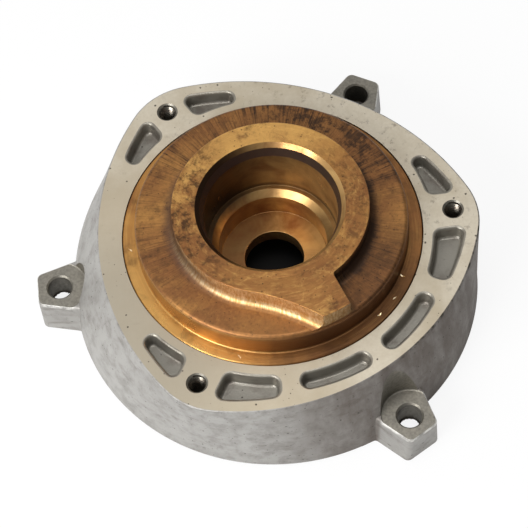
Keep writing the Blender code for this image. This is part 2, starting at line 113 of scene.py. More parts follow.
def number_of(name, description, default, least=0):
    """A whole number."""
    return IntProperty(name=name, description=description, default=default, min=least)


class CastingSizes(bpy.types.PropertyGroup):
    """Sizes of the aluminium casting."""

    rim_radius: length("Rim radius", "Outer radius of the rear rim", RIM_RADIUS / MM)
    rim_chamfer: length("Rim chamfer", "Chamfer on the rim's lower edge", 0.9)
    shoulder_radius: length("Shoulder radius", "Radius where the wall starts to lean in", 85.8)
    shoulder_height: length("Shoulder height", "Height of the middle of the shoulder's bend", 18.1)
    shoulder_blend: length("Shoulder blend", "Half the height of the shoulder's bend", 7.0)
    face_edge: length("Face edge", "Edge radius of the machined face", 0.6)
    corner_round: length("Corner round", "Radius of the face's three corners", 30.0)
    narrow_waist: length("Narrow waist", "Face radius in the middle of a narrow side", 72.8)
    narrow_beyond: length("Narrow arc centre", "From the axis to a narrow side's arc centre", 40.0)
    wide_waist: length("Wide waist", "Face radius in the middle of the wide side", 78.8)
    wide_beyond: length("Wide arc centre", "From the axis to the wide side's arc centre", 20.0)
    register_radius: length("Register radius", "Radius of the bore that takes the insert", 62.5)
    register_depth: length("Register depth", "Depth of the insert's seat below the face", 9.0)
    spigot_radius: length("Spigot bore radius", "Radius of the bore below the seat", 46.3)
    web: length("Web", "Thickness of the wall between face and rear hollow", 18.0)
    skirt: length("Skirt wall", "Wall thickness at the rim", 7.0)
    rear_boss_wall: length("Rear boss wall", "Wall of the boss round the spigot", 6.7)
    rear_boss_drop: length("Rear boss drop", "How far the rear boss stands below the web", 10.0)
    rib: length("Rib", "Thickness of a rear rib", 5.0)
    rib_drop: length("Rib drop", "How far the rear ribs stand below the web", 9.0)
    column_wall: length("Column wall", "Wall round a tapped hole's column", 4.8)
    column_floor: length("Column floor", "Metal below a tapped hole", 4.0)
    tapped_pitch: length("Tapped pitch radius", "Radius of the tapped holes' pitch circle", 75.6)
    tapped_radius: length("Tapped radius", "Wall radius of a tapped hole", 3.7)
    tapped_mouth: length("Tapped mouth", "Radius of a tapped hole's countersunk mouth", 4.5)
    tapped_depth: length("Tapped depth", "Depth of a tapped hole's full bore", 20.0)
    thread_pitch: length("Thread pitch", "Pitch of the tapped holes' thread", 1.25, 0.01)
    thread_height: length("Thread height", "How far a thread stands into its hole", 0.42, 0.01)
    pocket_depth: length("Pocket depth", "Depth of the cast pockets and slots", 6.0)
    pocket_mouth: length("Pocket mouth radius", "Edge radius of a pocket's mouth", 1.2)
    pocket_foot: length("Pocket foot radius", "Radius between a pocket's wall and floor", 1.3)
    pocket_corner: length("Pocket corner radius", "Plan radius of a pocket's corners", 3.2)
    pocket_inner_wall: length("Pocket inner wall", "Metal between a pocket and the register bore", 4.9)
    pocket_outer_wall: length("Pocket outer wall", "Metal between a pocket and the face's edge", 6.1)
    pocket_to_hole: length("Pocket to hole", "From a tapped hole's centre line to a pocket", 9.1)
    slot_radius: length("Slot radius", "Radius of the arc slots' middle line", 70.5)
    slot_width: length("Slot width", "Width of an arc slot", 6.2)
    lug_pitch: length("Lug pitch radius", "Radius of the lug holes' pitch circle", 91.8)
    lug_top: length("Lug height", "Height of a lug's cast top", 18.4)
    lug_reach: length("Lug reach", "How far a lug's nose is from the axis", LUG_REACH / MM)
    lug_root: length("Lug root radius", "Radius at which a lug's root width is measured", 82.0)
    lug_root_width: length("Lug root width", "Width of a lug at its root", 25.2)
    lug_nose_width: length("Lug nose width", "Width of a lug at its nose", 14.2)
    lug_nose_round: length("Lug nose radius", "Plan radius of a lug's nose corners", 2.6)
    lug_root_round: length("Lug root fillet", "Plan radius between a lug and the rim", 1.6)
    lug_edge: length("Lug edge radius", "Edge radius of a lug's top", 1.1)
    lug_hole: length("Lug hole radius", "Radius of a lug's through hole", 5.1)
    lug_chamfer: length("Lug hole chamfer", "Chamfer of a lug hole's mouth", 0.7)
    lug_back_flare: length("Lug back flare", "How far a lug hole widens at its bottom", 3.0)
    lug_back_depth: length("Lug back depth", "Height of the widened bottom of a lug hole", 5.0)
    spot_face: length("Spot face radius", "Radius of the cut that clears a screw's head", 11.9)
    spot_face_depth: length("Spot face depth", "Depth of the cut into a lug's top", 0.3)
    spot_face_foot: length("Spot face foot", "Radius at the foot of the spot face", 0.8)
    pocket_draft: angle("Pocket draft", "Lean of the pockets' walls", 7.0)
    cavity_draft: angle("Cavity draft", "Lean of the rear hollow's wall", 12.0)
    lug_draft: angle("Lug draft", "Lean of the lugs' sides", 3.0)
    narrow_end: angle("Narrow pocket end", "Where a pocket beside a narrow side ends", 22.6)
    wide_end: angle("Wide pocket end", "Where a pocket beside the wide side ends", 25.6)
    slot_span: angle("Slot span", "Angle from tip to tip of an arc slot", 23.4)
    slot_offset: angle("Slot offset", "Angle of a slot's middle from the wide side's middle", 15.2)


class InsertSizes(bpy.types.PropertyGroup):
    """Sizes of the bronze insert."""

    gap: length("Joint gap", "Gap between insert and casting", 0.3)
    ledge_radius: length("Ledge radius", "Radius of the ledge in the casting", LEDGE_RADIUS / MM)
    ledge_chamfer: length("Ledge chamfer", "Chamfer on the ledge's edge", 0.4)
    disc_radius: length("Disc radius", "Radius of the raised disc", 56.2)
    disc_rise: length("Disc rise", "Height of the channel floor above the casting's face", 11.6)
    disc_edge: length("Disc edge radius", "Edge radius of the raised disc", 2.0)
    hub_radius: length("Hub radius", "Outer radius of the hub", 40.4)
    hub_fillet: length("Hub fillet", "Radius between hub and channel floor", 3.8)
    hub_edge: length("Hub edge", "Edge radius of the hub's land", 0.25)
    rear_hub: length("Rear hub radius", "Radius of the hub on the rear side", 30.0)
    tongue_radius: length("Tongue radius", "How far the tongue reaches from the axis", 55.6)
    flank_radius: length("Flank radius", "Plan radius of the tongue's curved flank", 88.0)
    notch_round: length("Notch radius", "Plan radius in the corner of the notch", 2.0)
    mouth_radius: length("Bore mouth", "Radius of the bore at the land", 30.75)
    mouth_chamfer: length("Mouth chamfer", "Chamfer of the bore's mouth", 1.75)
    lead_depth: length("Lead depth", "Depth of the foot of the lead-in cone", 5.7)
    upper_radius: length("Upper bore radius", "Radius of the bore above the shelf", 27.5)
    shelf_depth: length("Shelf depth", "Depth of the shelf at the foot of the upper bore", 28.3)
    neck_radius: length("Neck radius", "Radius of the shelf's inner edge", 25.5)
    neck_drop: length("Neck drop", "Height of the chamfer below the shelf", 2.3)
    seal_radius: length("Seal bore radius", "Radius of the lower bore", 22.6)
    bore_floor: length("Bore floor", "Height of the bore's floor above the rim plane", 21.3)
    shaft_radius: length("Shaft hole radius", "Radius of the hole in the bore's floor", 12.5)
    edge_round: length("Edge radius", "Edge radius left by the tool on turned corners", 0.22)
    flank_start: angle("Flank start", "Where the flank leaves the hub", -108.5)
    notch_at_hub: angle("Notch at hub", "Where the notch's side meets the hub", -58.5)
    notch_at_rim: angle("Notch at rim", "Where the notch's side meets the tongue's end", -61.8)


class FinishColours(bpy.types.PropertyGroup):
    """Colours of the metals, the dirt, the painted light and shade, and the floor."""

    machined: colour("Machined aluminium", "Milled flange face", 206, 197, 179)
    # Also painted on the milled face as shade towards the lower left.
    machined_stain_and_shade: colour("Machined stain", "Dull patches on the milled face", 180, 168, 146)
    seat: colour("Screw seat", "Spot faces on the lugs", 142, 137, 126)
    cast: colour("Cast aluminium", "Clean skin of the casting", 172, 170, 166)
    cast_dark: colour("Cast shade", "Dull grey patches of the casting's skin", 142, 139, 134)
    # Also painted on the casting's right side as shade.
    cast_dirt_and_shade: colour("Cast dirt", "Brown-grey dirt on the casting", 98, 88, 80)
    # Also a painted highlight along the lugs' top edges and, through its mask, on the hub's foot fillet.
    worn_and_highlight: colour("Worn edge", "Bright, rubbed edges of the casting", 226, 224, 218)
    pocket: colour("Recess", "Cast floors and walls of the recesses", 134, 130, 121)
    pit: colour("Pit", "Pores and nicks in the aluminium", 54, 50, 42)
    bronze: colour("Bronze", "Turned bronze", 182, 132, 71)
    bronze_pale: colour("Pale bronze", "Fresh, bright bronze", 226, 177, 101)
    bronze_brown: colour("Brown bronze", "Tarnished bronze", 134, 89, 51)
    # Also painted as a highlight on the hub's foot fillet.
    chip: colour("Chip", "Fresh chips of bronze", 246, 228, 190)
    bronze_dark: colour("Dark bronze", "Dark tool marks and stains", 58, 40, 27)
    bore_bronze: colour("Bore bronze", "Wall of the bore", 206, 166, 106)
    # On the bore's lead-in this grey-violet is a painted dark reflection; in the channel's left fillet it is
    # a stain.
    grime: colour("Grime", "Grey-violet film on the bore's lead-in", 70, 56, 54)
    shade: colour("Shade", "Floor that the cover hides from the light", 10, 9, 8)
    floor: colour("Floor", "Pale floor", 236, 236, 236)


class StageSettings(bpy.types.PropertyGroup):
    """Camera, lamps and floor."""

    camera_distance: length("Camera distance", "From the middle of the face", 836.2, 3.0)
    camera_azimuth: angle("Camera azimuth", "Direction of the camera about the axis", -92.5)
    camera_elevation: angle("Camera elevation", "Height angle of the camera", 59.36)
    camera_roll: angle("Camera roll", "Tilt of the picture", -4.839)
    camera_tilt: angle("Camera tilt", "How far the camera looks above the face's middle", -0.9315)
    camera_pan: angle("Camera pan", "How far the camera looks to the side of the face's middle", 0.2326)
    camera_lens: FloatProperty(
        name="Lens", description="Focal length on a 36 mm sensor", default=137.62, subtype="DISTANCE_CAMERA",
        unit="CAMERA",
    )
    key_power: power("Key power", "Power of the softbox", 7.3)
    key_azimuth: angle("Key azimuth", "Direction of the softbox about the axis", 223.0)
    key_elevation: angle("Key elevation", "Height angle of the softbox", 36.0)
    key_distance: length("Key distance", "From the cover to the softbox", 900.0, 3.0)
    key_size: length("Key size", "Side of the softbox", 460.0, 2.0)
    top_power: power("Top power", "Power of the top panel", 3.4)
    top_height: length("Top height", "Height of the top panel", 1100.0, 3.0)
    top_size: length("Top size", "Side of the top panel", 500.0, 2.0)
    room_bright: amount("Room's bright side", "Light from the left and above", 0.7)
    room_dim: amount("Room's dim side", "Light from the right", 0.06)
    floor_size: length("Floor size", "Side of the floor", 6000.0, 20.0)
    floor_white: amount("Floor white", "White that the floor adds in view", 0.88)
    floor_in_metal: amount("Floor in metal", "Its share in reflections", 0.3)


class DetailSettings(bpy.types.PropertyGroup):
    """Numbers that steer facets and scattered detail."""

    round_facets: number_of("Round facets", "Facets of a full turn", 192, 24)
    body_facets: number_of("Body facets", "Facets of the casting's outline", 240, 24)
    hole_facets: number_of("Hole facets", "Facets of a small hole", 48, 12)
    arc_facets: number_of("Arc facets", "Facets of a fillet", 6, 2)
    chip_count: number_of("Chips", "Places for chips on the ledge", 36, 3)
    seed: number_of("Seed", "Seed of the scattered detail", 7)


class PumpCoverSettings(bpy.types.PropertyGroup):
    """All settings of the pump housing cover."""

    casting: PointerProperty(type=CastingSizes)
    insert: PointerProperty(type=InsertSizes)
    finish: PointerProperty(type=FinishColours)
    stage: PointerProperty(type=StageSettings)
    detail: PointerProperty(type=DetailSettings)


# Outlines and solids about the pump's axis

OVERSHOOT = 1.0 * MM
CLOSE = 0.01 * MM
SUNK = 0.04 * MM
TOOL_CHAMFER = 1.0 * MM
CAST_FILLET = 3.0 * MM
RIB_EDGE = 1.2 * MM
RIB_FILLET = 2.0 * MM
DISC_FOOT = 0.8 * MM
LUG_BURIED = 0.25 * MM
LEAST_POCKET_ROUND = 0.3 * MM
LEAST_NOTCH_ROUND = 0.15 * MM
DRILL_POINT = math.radians(31)
SHARED_SIDE, OWN_SIDE = 0.48, 0.98
LUG_RINGS = 8
SOLVE_ROUNDS = 8
BORE_EDGE_STEPS = 3


def on_circle(radius, turn):
    """Plan point at a radius and an angle about the pump's axis."""
    return radius * math.cos(turn), radius * math.sin(turn)


def between(turn):
    """The same angle, brought between minus and plus half a turn."""
    return (turn + math.pi) % math.tau - math.pi


def direction(azimuth, elevation):
    """Unit vector towards an azimuth and a height angle."""
    return Vector((*on_circle(math.cos(elevation), azimuth), math.sin(elevation)))


def turned(points, turn):
    """Plan points turned about the pump's axis."""
    c, s = math.cos(turn), math.sin(turn)
    return [(x * c - y * s, x * s + y * c) for x, y in points]


def arc(centre, radius, start, end, steps):
    """Plan points along an arc, with both its ends."""
    turns = [start + (end - start) * i / steps for i in range(steps + 1)]
    return [(centre[0] + radius * math.cos(a), centre[1] + radius * math.sin(a)) for a in turns]


def circle(radius, facets, centre=(0.0, 0.0)):
    """Plan points of a circle."""
    return arc(centre, radius, 0.0, math.tau, facets)[:-1]


def rounded(points, radii, steps):
    """A closed plan outline with corners rounded: radii gives each rounded corner's radius by its number."""
    result = []
    count = len(points)
    for i, point in enumerate(points):
        if i not in radii:
            result.append(tuple(point))
            continue
        corner = Vector(point)
        spans = []
        for j in ((i - 1) % count, (i + 1) % count):
            span = Vector(points[j]) - corner
            spans.append((span.normalized(), span.length * (SHARED_SIDE if j in radii else OWN_SIDE)))
        (to_before, room_before), (to_after, room_after) = spans
        half = to_before.angle(to_after) / 2
        tangent = min(radii[i] / math.tan(half), room_before, room_after)
        centre = corner + (to_before + to_after).normalized() * (tangent / math.cos(half))
        first = corner + to_before * tangent - centre
        last = corner + to_after * tangent - centre
        start, end = math.atan2(first.y, first.x), math.atan2(last.y, last.x)
        sweep = between(end - start)
        result += arc(centre, tangent * math.tan(half), start, start + sweep, steps)
    return result


def add_object(name, data):
    """A new object in the scene."""
    thing = bpy.data.objects.new(name, data)
    bpy.context.scene.collection.objects.link(thing)
    return thing


def skinned(name, sections, closed=False):
    """A solid through sections with equally many points, closed on itself or capped at its ends."""
    mesh = bmesh.new()
    loops = [[mesh.verts.new(point) for point in section] for section in sections]
    for first, second in zip(loops, loops[1:] + loops[:1] if closed else loops[1:]):
        for i in range(len(first)):
            j = (i + 1) % len(first)
            mesh.faces.new((first[i], first[j], second[j], second[i]))
    if not closed:
        mesh.faces.new(list(reversed(loops[0])))
        mesh.faces.new(loops[-1])
    bmesh.ops.recalc_face_normals(mesh, faces=mesh.faces)
    data = bpy.data.meshes.new(name)
    mesh.to_mesh(data)
    mesh.free()
    return add_object(name, data)


def loft(name, rings):
    """A solid about the pump's axis through (height, plan outline) pairs, from the bottom up."""
    return skinned(name, [[(x + AXIS_X, y, z) for x, y in outline] for z, outline in rings])


def turned_solid(name, profile, facets, centre=(0.0, 0.0)):
    """A turned solid from (radius, height) pairs, from the bottom up."""
    return loft(name, [(z, circle(r, facets, centre)) for r, z in profile])


def apply_modifier(thing, modifier):
    """Turns an object with one modifier into a plain mesh, and removes the modifier."""
    data = bpy.data.meshes.new_from_object(thing.evaluated_get(bpy.context.evaluated_depsgraph_get()))
    thing.modifiers.remove(modifier)
    old = thing.data
    thing.data = data
    bpy.data.meshes.remove(old)


def combine(target, tools, operation):
    """Joins tool solids that are clear of each other to the target, or cuts them out, and deletes them."""
    whole = bmesh.new()
    for tool in tools:
        whole.from_mesh(tool.data)
    tool_data = bpy.data.meshes.new("tools")
    whole.to_mesh(tool_data)
    whole.free()
    joined = add_object("tools", tool_data)
    modifier = target.modifiers.new("combine", "BOOLEAN")
    modifier.operation = operation
    modifier.solver = "EXACT"
    modifier.object = joined
    apply_modifier(target, modifier)
    for tool in [joined, *tools]:
        bpy.data.objects.remove(tool)


def edge(radius, steps):
    """A rounded upper edge from its foot up: how far each point is back from the side and above the top."""
    turns = [math.pi / 2 * i / steps for i in range(steps + 1)]
    return [(radius * (1 - math.cos(t)), radius * (math.sin(t) - 1)) for t in turns]


def foot(radius, steps):
    """A rounded foot from its outer end up: how far each point is out from the side and above the floor."""
    return [(-up, back) for back, up in edge(radius, steps)]


def is_wide(middle):
    """Whether a side of the face, given by the angle of its middle, is the wide one."""
    return abs(middle - WIDE_SIDE) < 1e-6


class CoverForm:
    """The casting's and the insert's forms, from the settings."""

    def __init__(self, settings):
        self.c = settings.casting
        self.i = settings.insert
        self.d = settings.detail
        self.corner_arcs = [self.corner_arc(n) for n in range(CORNER_COUNT)]

    # Face outline

    def side_arc(self, middle):
        """Centre and radius of the face's side arc that is centred on an angle."""
        if is_wide(middle):
            waist, beyond = self.c.wide_waist, self.c.wide_beyond
        else:
            waist, beyond = self.c.narrow_waist, self.c.narrow_beyond
        return Vector(on_circle(-beyond, middle)), waist + beyond

    def corner_arc(self, corner):
        """Centre of a face corner's rounding circle, and the angles where it meets the side arcs."""
        turn = CORNER_ANGLES[corner]
        before, r_before = self.side_arc(LUG_ANGLES[corner - 1])
        after, r_after = self.side_arc(LUG_ANGLES[corner])
        ra, rb = r_before - self.c.corner_round, r_after - self.c.corner_round
        apart = after - before
        along = (ra**2 - rb**2 + apart.length_squared) / (2 * apart.length)
        across = math.sqrt(max(ra**2 - along**2, 0.0))
        towards = apart.normalized()
        sideways = Vector((towards.y, -towards.x)) * across
        outwards = Vector(on_circle(1.0, turn))
        middle = before + towards * along
        centre = max(middle + sideways, middle - sideways, key=lambda p: p.dot(outwards))
        ends = []
        for start, radius in ((before, r_before), (after, r_after)):
            touch = start + (centre - start).normalized() * radius
            ends.append(between(math.atan2(touch.y, touch.x) - turn))
        return centre, ends

    def face_radius(self, turn):
        """Radius of the machined face's outline at an angle."""
        corner = round(turn / (math.tau / CORNER_COUNT)) % CORNER_COUNT
        off = between(turn - CORNER_ANGLES[corner])
        centre, (low, high) = self.corner_arcs[corner]
        radius = self.c.corner_round
        if not low <= off <= high:
            centre, radius = self.side_arc(LUG_ANGLES[corner] if off > 0 else LUG_ANGLES[corner - 1])
        along = centre.dot(Vector(on_circle(1.0, turn)))
        return along + math.sqrt(max(along**2 - centre.length_squared + radius**2, 0.0))

    def wall_radius(self, turn, blend):
        """Radius of the body's wall, from the shoulder at blend 0 to the face at blend 1."""
        return self.c.shoulder_radius + (self.face_radius(turn) - self.c.shoulder_radius) * blend

    def body_outline(self, blend, inset=0.0):
        """Plan outline of the body at a blend."""
        facets = self.d.body_facets
        turns = [math.tau * i / facets for i in range(facets)]
        return [on_circle(self.wall_radius(t, blend) - inset, t) for t in turns]

    def body(self):
        """The flared body, solid so far."""
        c, facets, steps = self.c, self.d.body_facets, self.d.arc_facets
        rings = [
            (0.0, circle(c.rim_radius - c.rim_chamfer, facets)),
            (c.rim_chamfer, circle(c.rim_radius, facets)),
            (c.shoulder_height - c.shoulder_blend, circle(c.shoulder_radius, facets)),
        ]
        flare = FACE_Z - c.shoulder_height
        for i in range(1, 2 * steps + 1):
            t = i / (2 * steps)
            height = c.shoulder_height + c.shoulder_blend * (t**2 - (1 - t) ** 2)
            rings.append((height, self.body_outline(c.shoulder_blend / flare * t**2)))
        rings += [(FACE_Z + up, self.body_outline(1.0, back)) for back, up in edge(c.face_edge, steps)]
        return loft("casting_finish", rings)

    # Lugs

    def lug_outline(self, height, inset):
        """Plan outline of a lug along +X at a height, with a fillet where it meets the rim."""
        c = self.c
        grow = (c.lug_top - height) * math.tan(c.lug_draft) - inset
        root, nose = c.lug_root_width / 2 + grow, c.lug_nose_width / 2 + grow
        reach = c.lug_reach - inset
        slope = (root - nose) / (reach - c.lug_root)
        share = (height - c.rim_chamfer) / (c.shoulder_height - c.shoulder_blend - c.rim_chamfer)
        wall = c.rim_radius + (c.shoulder_radius - c.rim_radius) * max(0.0, min(1.0, share))
        flare = (height - c.shoulder_height + c.shoulder_blend) / (2 * c.shoulder_blend)
        leaned = c.shoulder_blend / (FACE_Z - c.shoulder_height) * max(0.0, flare) ** 2
        wall += (c.narrow_waist - c.shoulder_radius) * leaned
        x = wall
        for _ in range(SOLVE_ROUNDS):
            y = root - slope * (x - c.lug_root)
            x = math.sqrt(max(wall**2 - y**2, 0.0))
        x -= LUG_BURIED
        outwards, tangent = Vector((x, y)).normalized(), Vector((-y, x)).normalized()
        side = Vector((x, y)) + tangent * (4 * c.lug_root_round) - outwards * LUG_BURIED
        inner = side - outwards * (1.5 * c.lug_root_round)
        half = [tuple(inner), tuple(side), (x, y), (reach, nose)]
        points = [(px, -py) for px, py in half] + list(reversed(half))
        corners = {2: c.lug_root_round, 3: c.lug_nose_round, 4: c.lug_nose_round, 5: c.lug_root_round}
        return rounded(points, corners, self.d.arc_facets)

    def lug(self, turn):
        """One lug, from the rim plane up, with its root inside the body."""
        c = self.c
        sections = [((c.lug_top - c.lug_edge) * i / LUG_RINGS, 0.0) for i in range(LUG_RINGS)]
        sections += [(c.lug_top + up, back) for back, up in edge(c.lug_edge, self.d.arc_facets)]
        return loft("lug", [(z, turned(self.lug_outline(z, inset), turn)) for z, inset in sections])

    def lug_hole(self, turn):
        """Cutter for a lug's through hole and the spot face that clears the screw's head."""
        c = self.c
        floor = c.lug_top - c.spot_face_depth
        profile = [
            (c.lug_hole + c.lug_back_flare * (1 + OVERSHOOT / c.lug_back_depth), -OVERSHOOT),
            (c.lug_hole, c.lug_back_depth),
            (c.lug_hole, floor - c.lug_chamfer),
            (c.lug_hole + c.lug_chamfer, floor),
        ]
        profile += [(c.spot_face - out, floor + up) for out, up in foot(c.spot_face_foot, self.d.arc_facets)]
        profile.append((c.spot_face, FACE_Z + OVERSHOOT))
        return turned_solid("lug_hole", profile, 2 * self.d.hole_facets, on_circle(c.lug_pitch, turn))

    # Holes and recesses in the face

    def tapped_hole(self, turn):
        """Cutter for a blind tapped hole with its countersunk mouth and drill point."""
        c = self.c
        bottom, tip = FACE_Z - c.tapped_depth, 0.1 * c.tapped_radius
        profile = [
            (tip, bottom - (c.tapped_radius - tip) * math.tan(DRILL_POINT)),
            (c.tapped_radius, bottom),
            (c.tapped_radius, FACE_Z - (c.tapped_mouth - c.tapped_radius)),
            (c.tapped_mouth + OVERSHOOT, FACE_Z + OVERSHOOT),
        ]
        return turned_solid("tapped_hole", profile, self.d.hole_facets, on_circle(c.tapped_pitch, turn))

    def pocket_outline(self, corner, side, end, inset):
        """Plan outline of the pocket on one side of a corner's tapped hole, inset from its upper walls."""
        c, steps = self.c, 2 * self.d.arc_facets
        near = c.pocket_to_hole + inset
        radius = max(c.pocket_corner - inset, LEAST_POCKET_ROUND)

        def inner(turn):
            return c.register_radius + c.pocket_inner_wall + inset

        def outer(turn):
            return self.face_radius(corner + side * turn) - c.pocket_outer_wall - inset

        walls = []
        for wall in (inner, outer):
            first = math.asin(near / wall(0.0))
            for _ in range(SOLVE_ROUNDS):
                first = math.asin(near / wall(first))
            last = end - inset / wall(end)
            margin = 1.15 * radius / wall(last)
            spread = last - first - 2 * margin
            turns = [first] + [first + margin + spread * k / steps for k in range(steps + 1)] + [last]
            walls.append([on_circle(wall(t), t) for t in turns])
        points = walls[0] + list(reversed(walls[1]))
        ends = (0, steps + 2, steps + 3, 2 * steps + 5)
        points = rounded(points, dict.fromkeys(ends, radius), self.d.arc_facets)
        if side < 0:
            points = [(x, -y) for x, y in reversed(points)]
        return turned(points, corner)

    def slot_outline(self, middle, inset):
        """Plan outline of an arc slot centred on an angle, inset from its upper walls."""
        c, steps = self.c, 3 * self.d.arc_facets
        half_width = c.slot_width / 2 - inset
        half_span = c.slot_span / 2 - c.slot_width / 2 / c.slot_radius
        low, high = middle - half_span, middle + half_span
        outer = arc((0, 0), c.slot_radius + half_width, low, high, steps)
        far = arc(on_circle(c.slot_radius, high), half_width, high, high + math.pi, steps)[1:-1]
        inner = arc((0, 0), c.slot_radius - half_width, high, low, steps)
        near = arc(on_circle(c.slot_radius, low), half_width, low + math.pi, low + math.tau, steps)[1:-1]
        return outer + far + inner + near

    def recess(self, outline):
        """Cutter for a cast recess with a flat floor, rounded foot, drafted wall and rounded mouth."""
        c, steps = self.c, self.d.arc_facets
        floor = FACE_Z - c.pocket_depth
        drafted = (c.pocket_depth - c.pocket_mouth - c.pocket_foot) * math.tan(c.pocket_draft)
        rings = [(floor + up, outline(drafted + out)) for out, up in foot(c.pocket_foot, steps)]
        rings += [(FACE_Z + up, outline(-back)) for back, up in edge(c.pocket_mouth, steps)]
        rings.append((FACE_Z + OVERSHOOT, outline(-c.pocket_mouth)))
        return loft("recess", rings)

    def recesses(self):
        """Cutters for the pockets beside each tapped hole and for the two arc slots."""
        c = self.c
        cutters = []
        for corner in CORNER_ANGLES:
            for side in (-1, 1):
                beside = (corner + side * math.pi / CORNER_COUNT) % math.tau
                end = c.wide_end if is_wide(beside) else c.narrow_end
                cutters.append(self.recess(partial(self.pocket_outline, corner, side, end)))
        for side in (-1, 1):
            cutters.append(self.recess(partial(self.slot_outline, WIDE_SIDE + side * c.slot_offset)))
        return cutters

    # Rear side

    def register(self):
        """Cutter for the register bore and the spigot bore below it."""
        c = self.c
        profile = [
            (c.spigot_radius, -OVERSHOOT),
            (c.spigot_radius, FACE_Z - c.register_depth),
            (c.register_radius, FACE_Z - c.register_depth),
            (c.register_radius, FACE_Z + OVERSHOOT),
        ]
        return turned_solid("register", profile, self.d.round_facets)

    def rear_cavity(self):
        """Cutter for the hollow rear side, which leaves a boss, ribs and columns for the tapped holes."""
        c, steps = self.c, self.d.arc_facets
        underside = FACE_Z - c.web
        rim, lean = c.rim_radius - c.skirt, math.tan(c.cavity_draft)
        wall_top = underside - CAST_FILLET
        wall = rim - wall_top * lean
        profile = [(rim + OVERSHOOT * lean, -OVERSHOOT), (wall, wall_top)]
        profile += [(wall - back, underside + up) for back, up in edge(CAST_FILLET, steps)[1:]]
        cavity = turned_solid("rear_cavity", profile, self.d.body_facets)
        above = underside + OVERSHOOT
        boss = c.spigot_radius + c.rear_boss_wall
        low = underside - c.rear_boss_drop
        boss_profile = [(boss - TOOL_CHAMFER, low), (boss, low + TOOL_CHAMFER)]
        boss_profile += [(boss + back, underside + up) for back, up in edge(CAST_FILLET, steps)]
        boss_profile.append((boss + CAST_FILLET, above))
        combine(cavity, [turned_solid("rear_boss", boss_profile, self.d.round_facets)], "DIFFERENCE")
        for corner in CORNER_ANGLES:
            rings = []
            for height, half in self.rib_section(underside, above):
                strip = [(-rim, -half), (rim, -half), (rim, half), (-rim, half)]
                rings.append((height, turned(strip, corner)))
            combine(cavity, [loft("rib", rings)], "DIFFERENCE")
        column, bottom = c.tapped_radius + c.column_wall, FACE_Z - c.tapped_depth - c.column_floor
        columns = []
        for corner in CORNER_ANGLES:
            profile = [(column - TOOL_CHAMFER, bottom), (column, bottom + TOOL_CHAMFER), (column, above)]
            place = on_circle(c.tapped_pitch, corner)
            columns.append(turned_solid("column", profile, self.d.hole_facets, place))
        combine(cavity, columns, "DIFFERENCE")
        return cavity

    def rib_section(self, underside, above):
        """Height and half thickness of a rib's section, with a rounded edge and a filleted root."""
        half, bottom, steps = self.c.rib / 2, underside - self.c.rib_drop, self.d.arc_facets // 2
        section = [(bottom + up, half - out) for out, up in foot(RIB_EDGE, steps)]
        section += [(underside + up, half + back) for back, up in edge(RIB_FILLET, steps)]
        return section + [(above, half + RIB_FILLET)]

    def casting(self):
        """The casting with all its machining."""
        casting = self.body()
        combine(casting, [self.lug(turn) for turn in LUG_ANGLES], "UNION")
        combine(casting, [self.rear_cavity()], "DIFFERENCE")
        combine(casting, [self.register()], "DIFFERENCE")
        face_cutters = self.recesses() + [self.tapped_hole(turn) for turn in CORNER_ANGLES]
        combine(casting, face_cutters, "DIFFERENCE")
        combine(casting, [self.lug_hole(turn) for turn in LUG_ANGLES], "DIFFERENCE")
        return casting

    # Insert

    def insert_disc(self):
        """The turned body of the insert up to the channel floor, without its bore."""
        c, i, steps = self.c, self.i, self.d.arc_facets
        underside = FACE_Z - c.web
        spigot = c.spigot_radius - i.gap
        profile = [
            (i.rear_hub - TOOL_CHAMFER, INSERT_LOW.z),
            (i.rear_hub, INSERT_LOW.z + TOOL_CHAMFER),
            (i.rear_hub, underside),
            (spigot, underside),
            (spigot, FACE_Z - c.register_depth + i.gap),
            (i.ledge_radius, FACE_Z - c.register_depth + i.gap),
            (i.ledge_radius, FACE_Z - i.ledge_chamfer),
            (i.ledge_radius - i.ledge_chamfer, FACE_Z),
        ]
        floor = FACE_Z + i.disc_rise
        profile += [(i.disc_radius + out, FACE_Z + up) for out, up in foot(DISC_FOOT, steps)]
        profile += [(i.disc_radius - back, floor + up) for back, up in edge(i.disc_edge, 2 * steps)]
        return turned_solid("insert_finish", profile, self.d.round_facets)

    def hub_outline(self, grow):
        """Plan outline of the hub and its tongue, grown outwards but held inside the disc's edge."""
        i, steps = self.i, self.d.arc_facets
        hub, flank = i.hub_radius + grow, i.flank_radius - grow
        centre = Vector(on_circle(i.hub_radius + i.flank_radius, i.flank_start))
        apart, reach = centre.length, i.tongue_radius
        tip_turn = i.flank_start + math.acos((reach**2 + apart**2 - flank**2) / (2 * reach * apart))
        tip = Vector(on_circle(reach, tip_turn))
        at_hub = Vector(on_circle(i.hub_radius, i.notch_at_hub))
        along = (Vector(on_circle(reach, i.notch_at_rim)) - at_hub).normalized()
        side = at_hub + Vector((-along.y, along.x)) * grow

        def crossing(radius):
            """Where the notch's side crosses a circle about the pump's axis."""
            dot = side.dot(along)
            return side + along * (math.sqrt(max(dot**2 - side.length_squared + radius**2, 0.0)) - dot)

        notch, rim = crossing(hub), crossing(reach)
        first = math.atan2(notch.y, notch.x)
        sweep = (i.flank_start - first) % math.tau
        points = [tuple(rim), tuple(notch)]
        points += arc((0, 0), hub, first, first + sweep, self.d.round_facets * 3 // 4)[1:]
        start = i.flank_start + math.pi
        end = start + between(math.atan2(tip.y - centre.y, tip.x - centre.x) - start)
        points += arc(centre, flank, start, end, 6 * steps)[1:]
        points += arc((0, 0), reach, tip_turn, math.atan2(rim.y, rim.x), 2 * steps)[1:-1]
        return rounded(points, {1: max(i.notch_round - grow, LEAST_NOTCH_ROUND)}, steps)

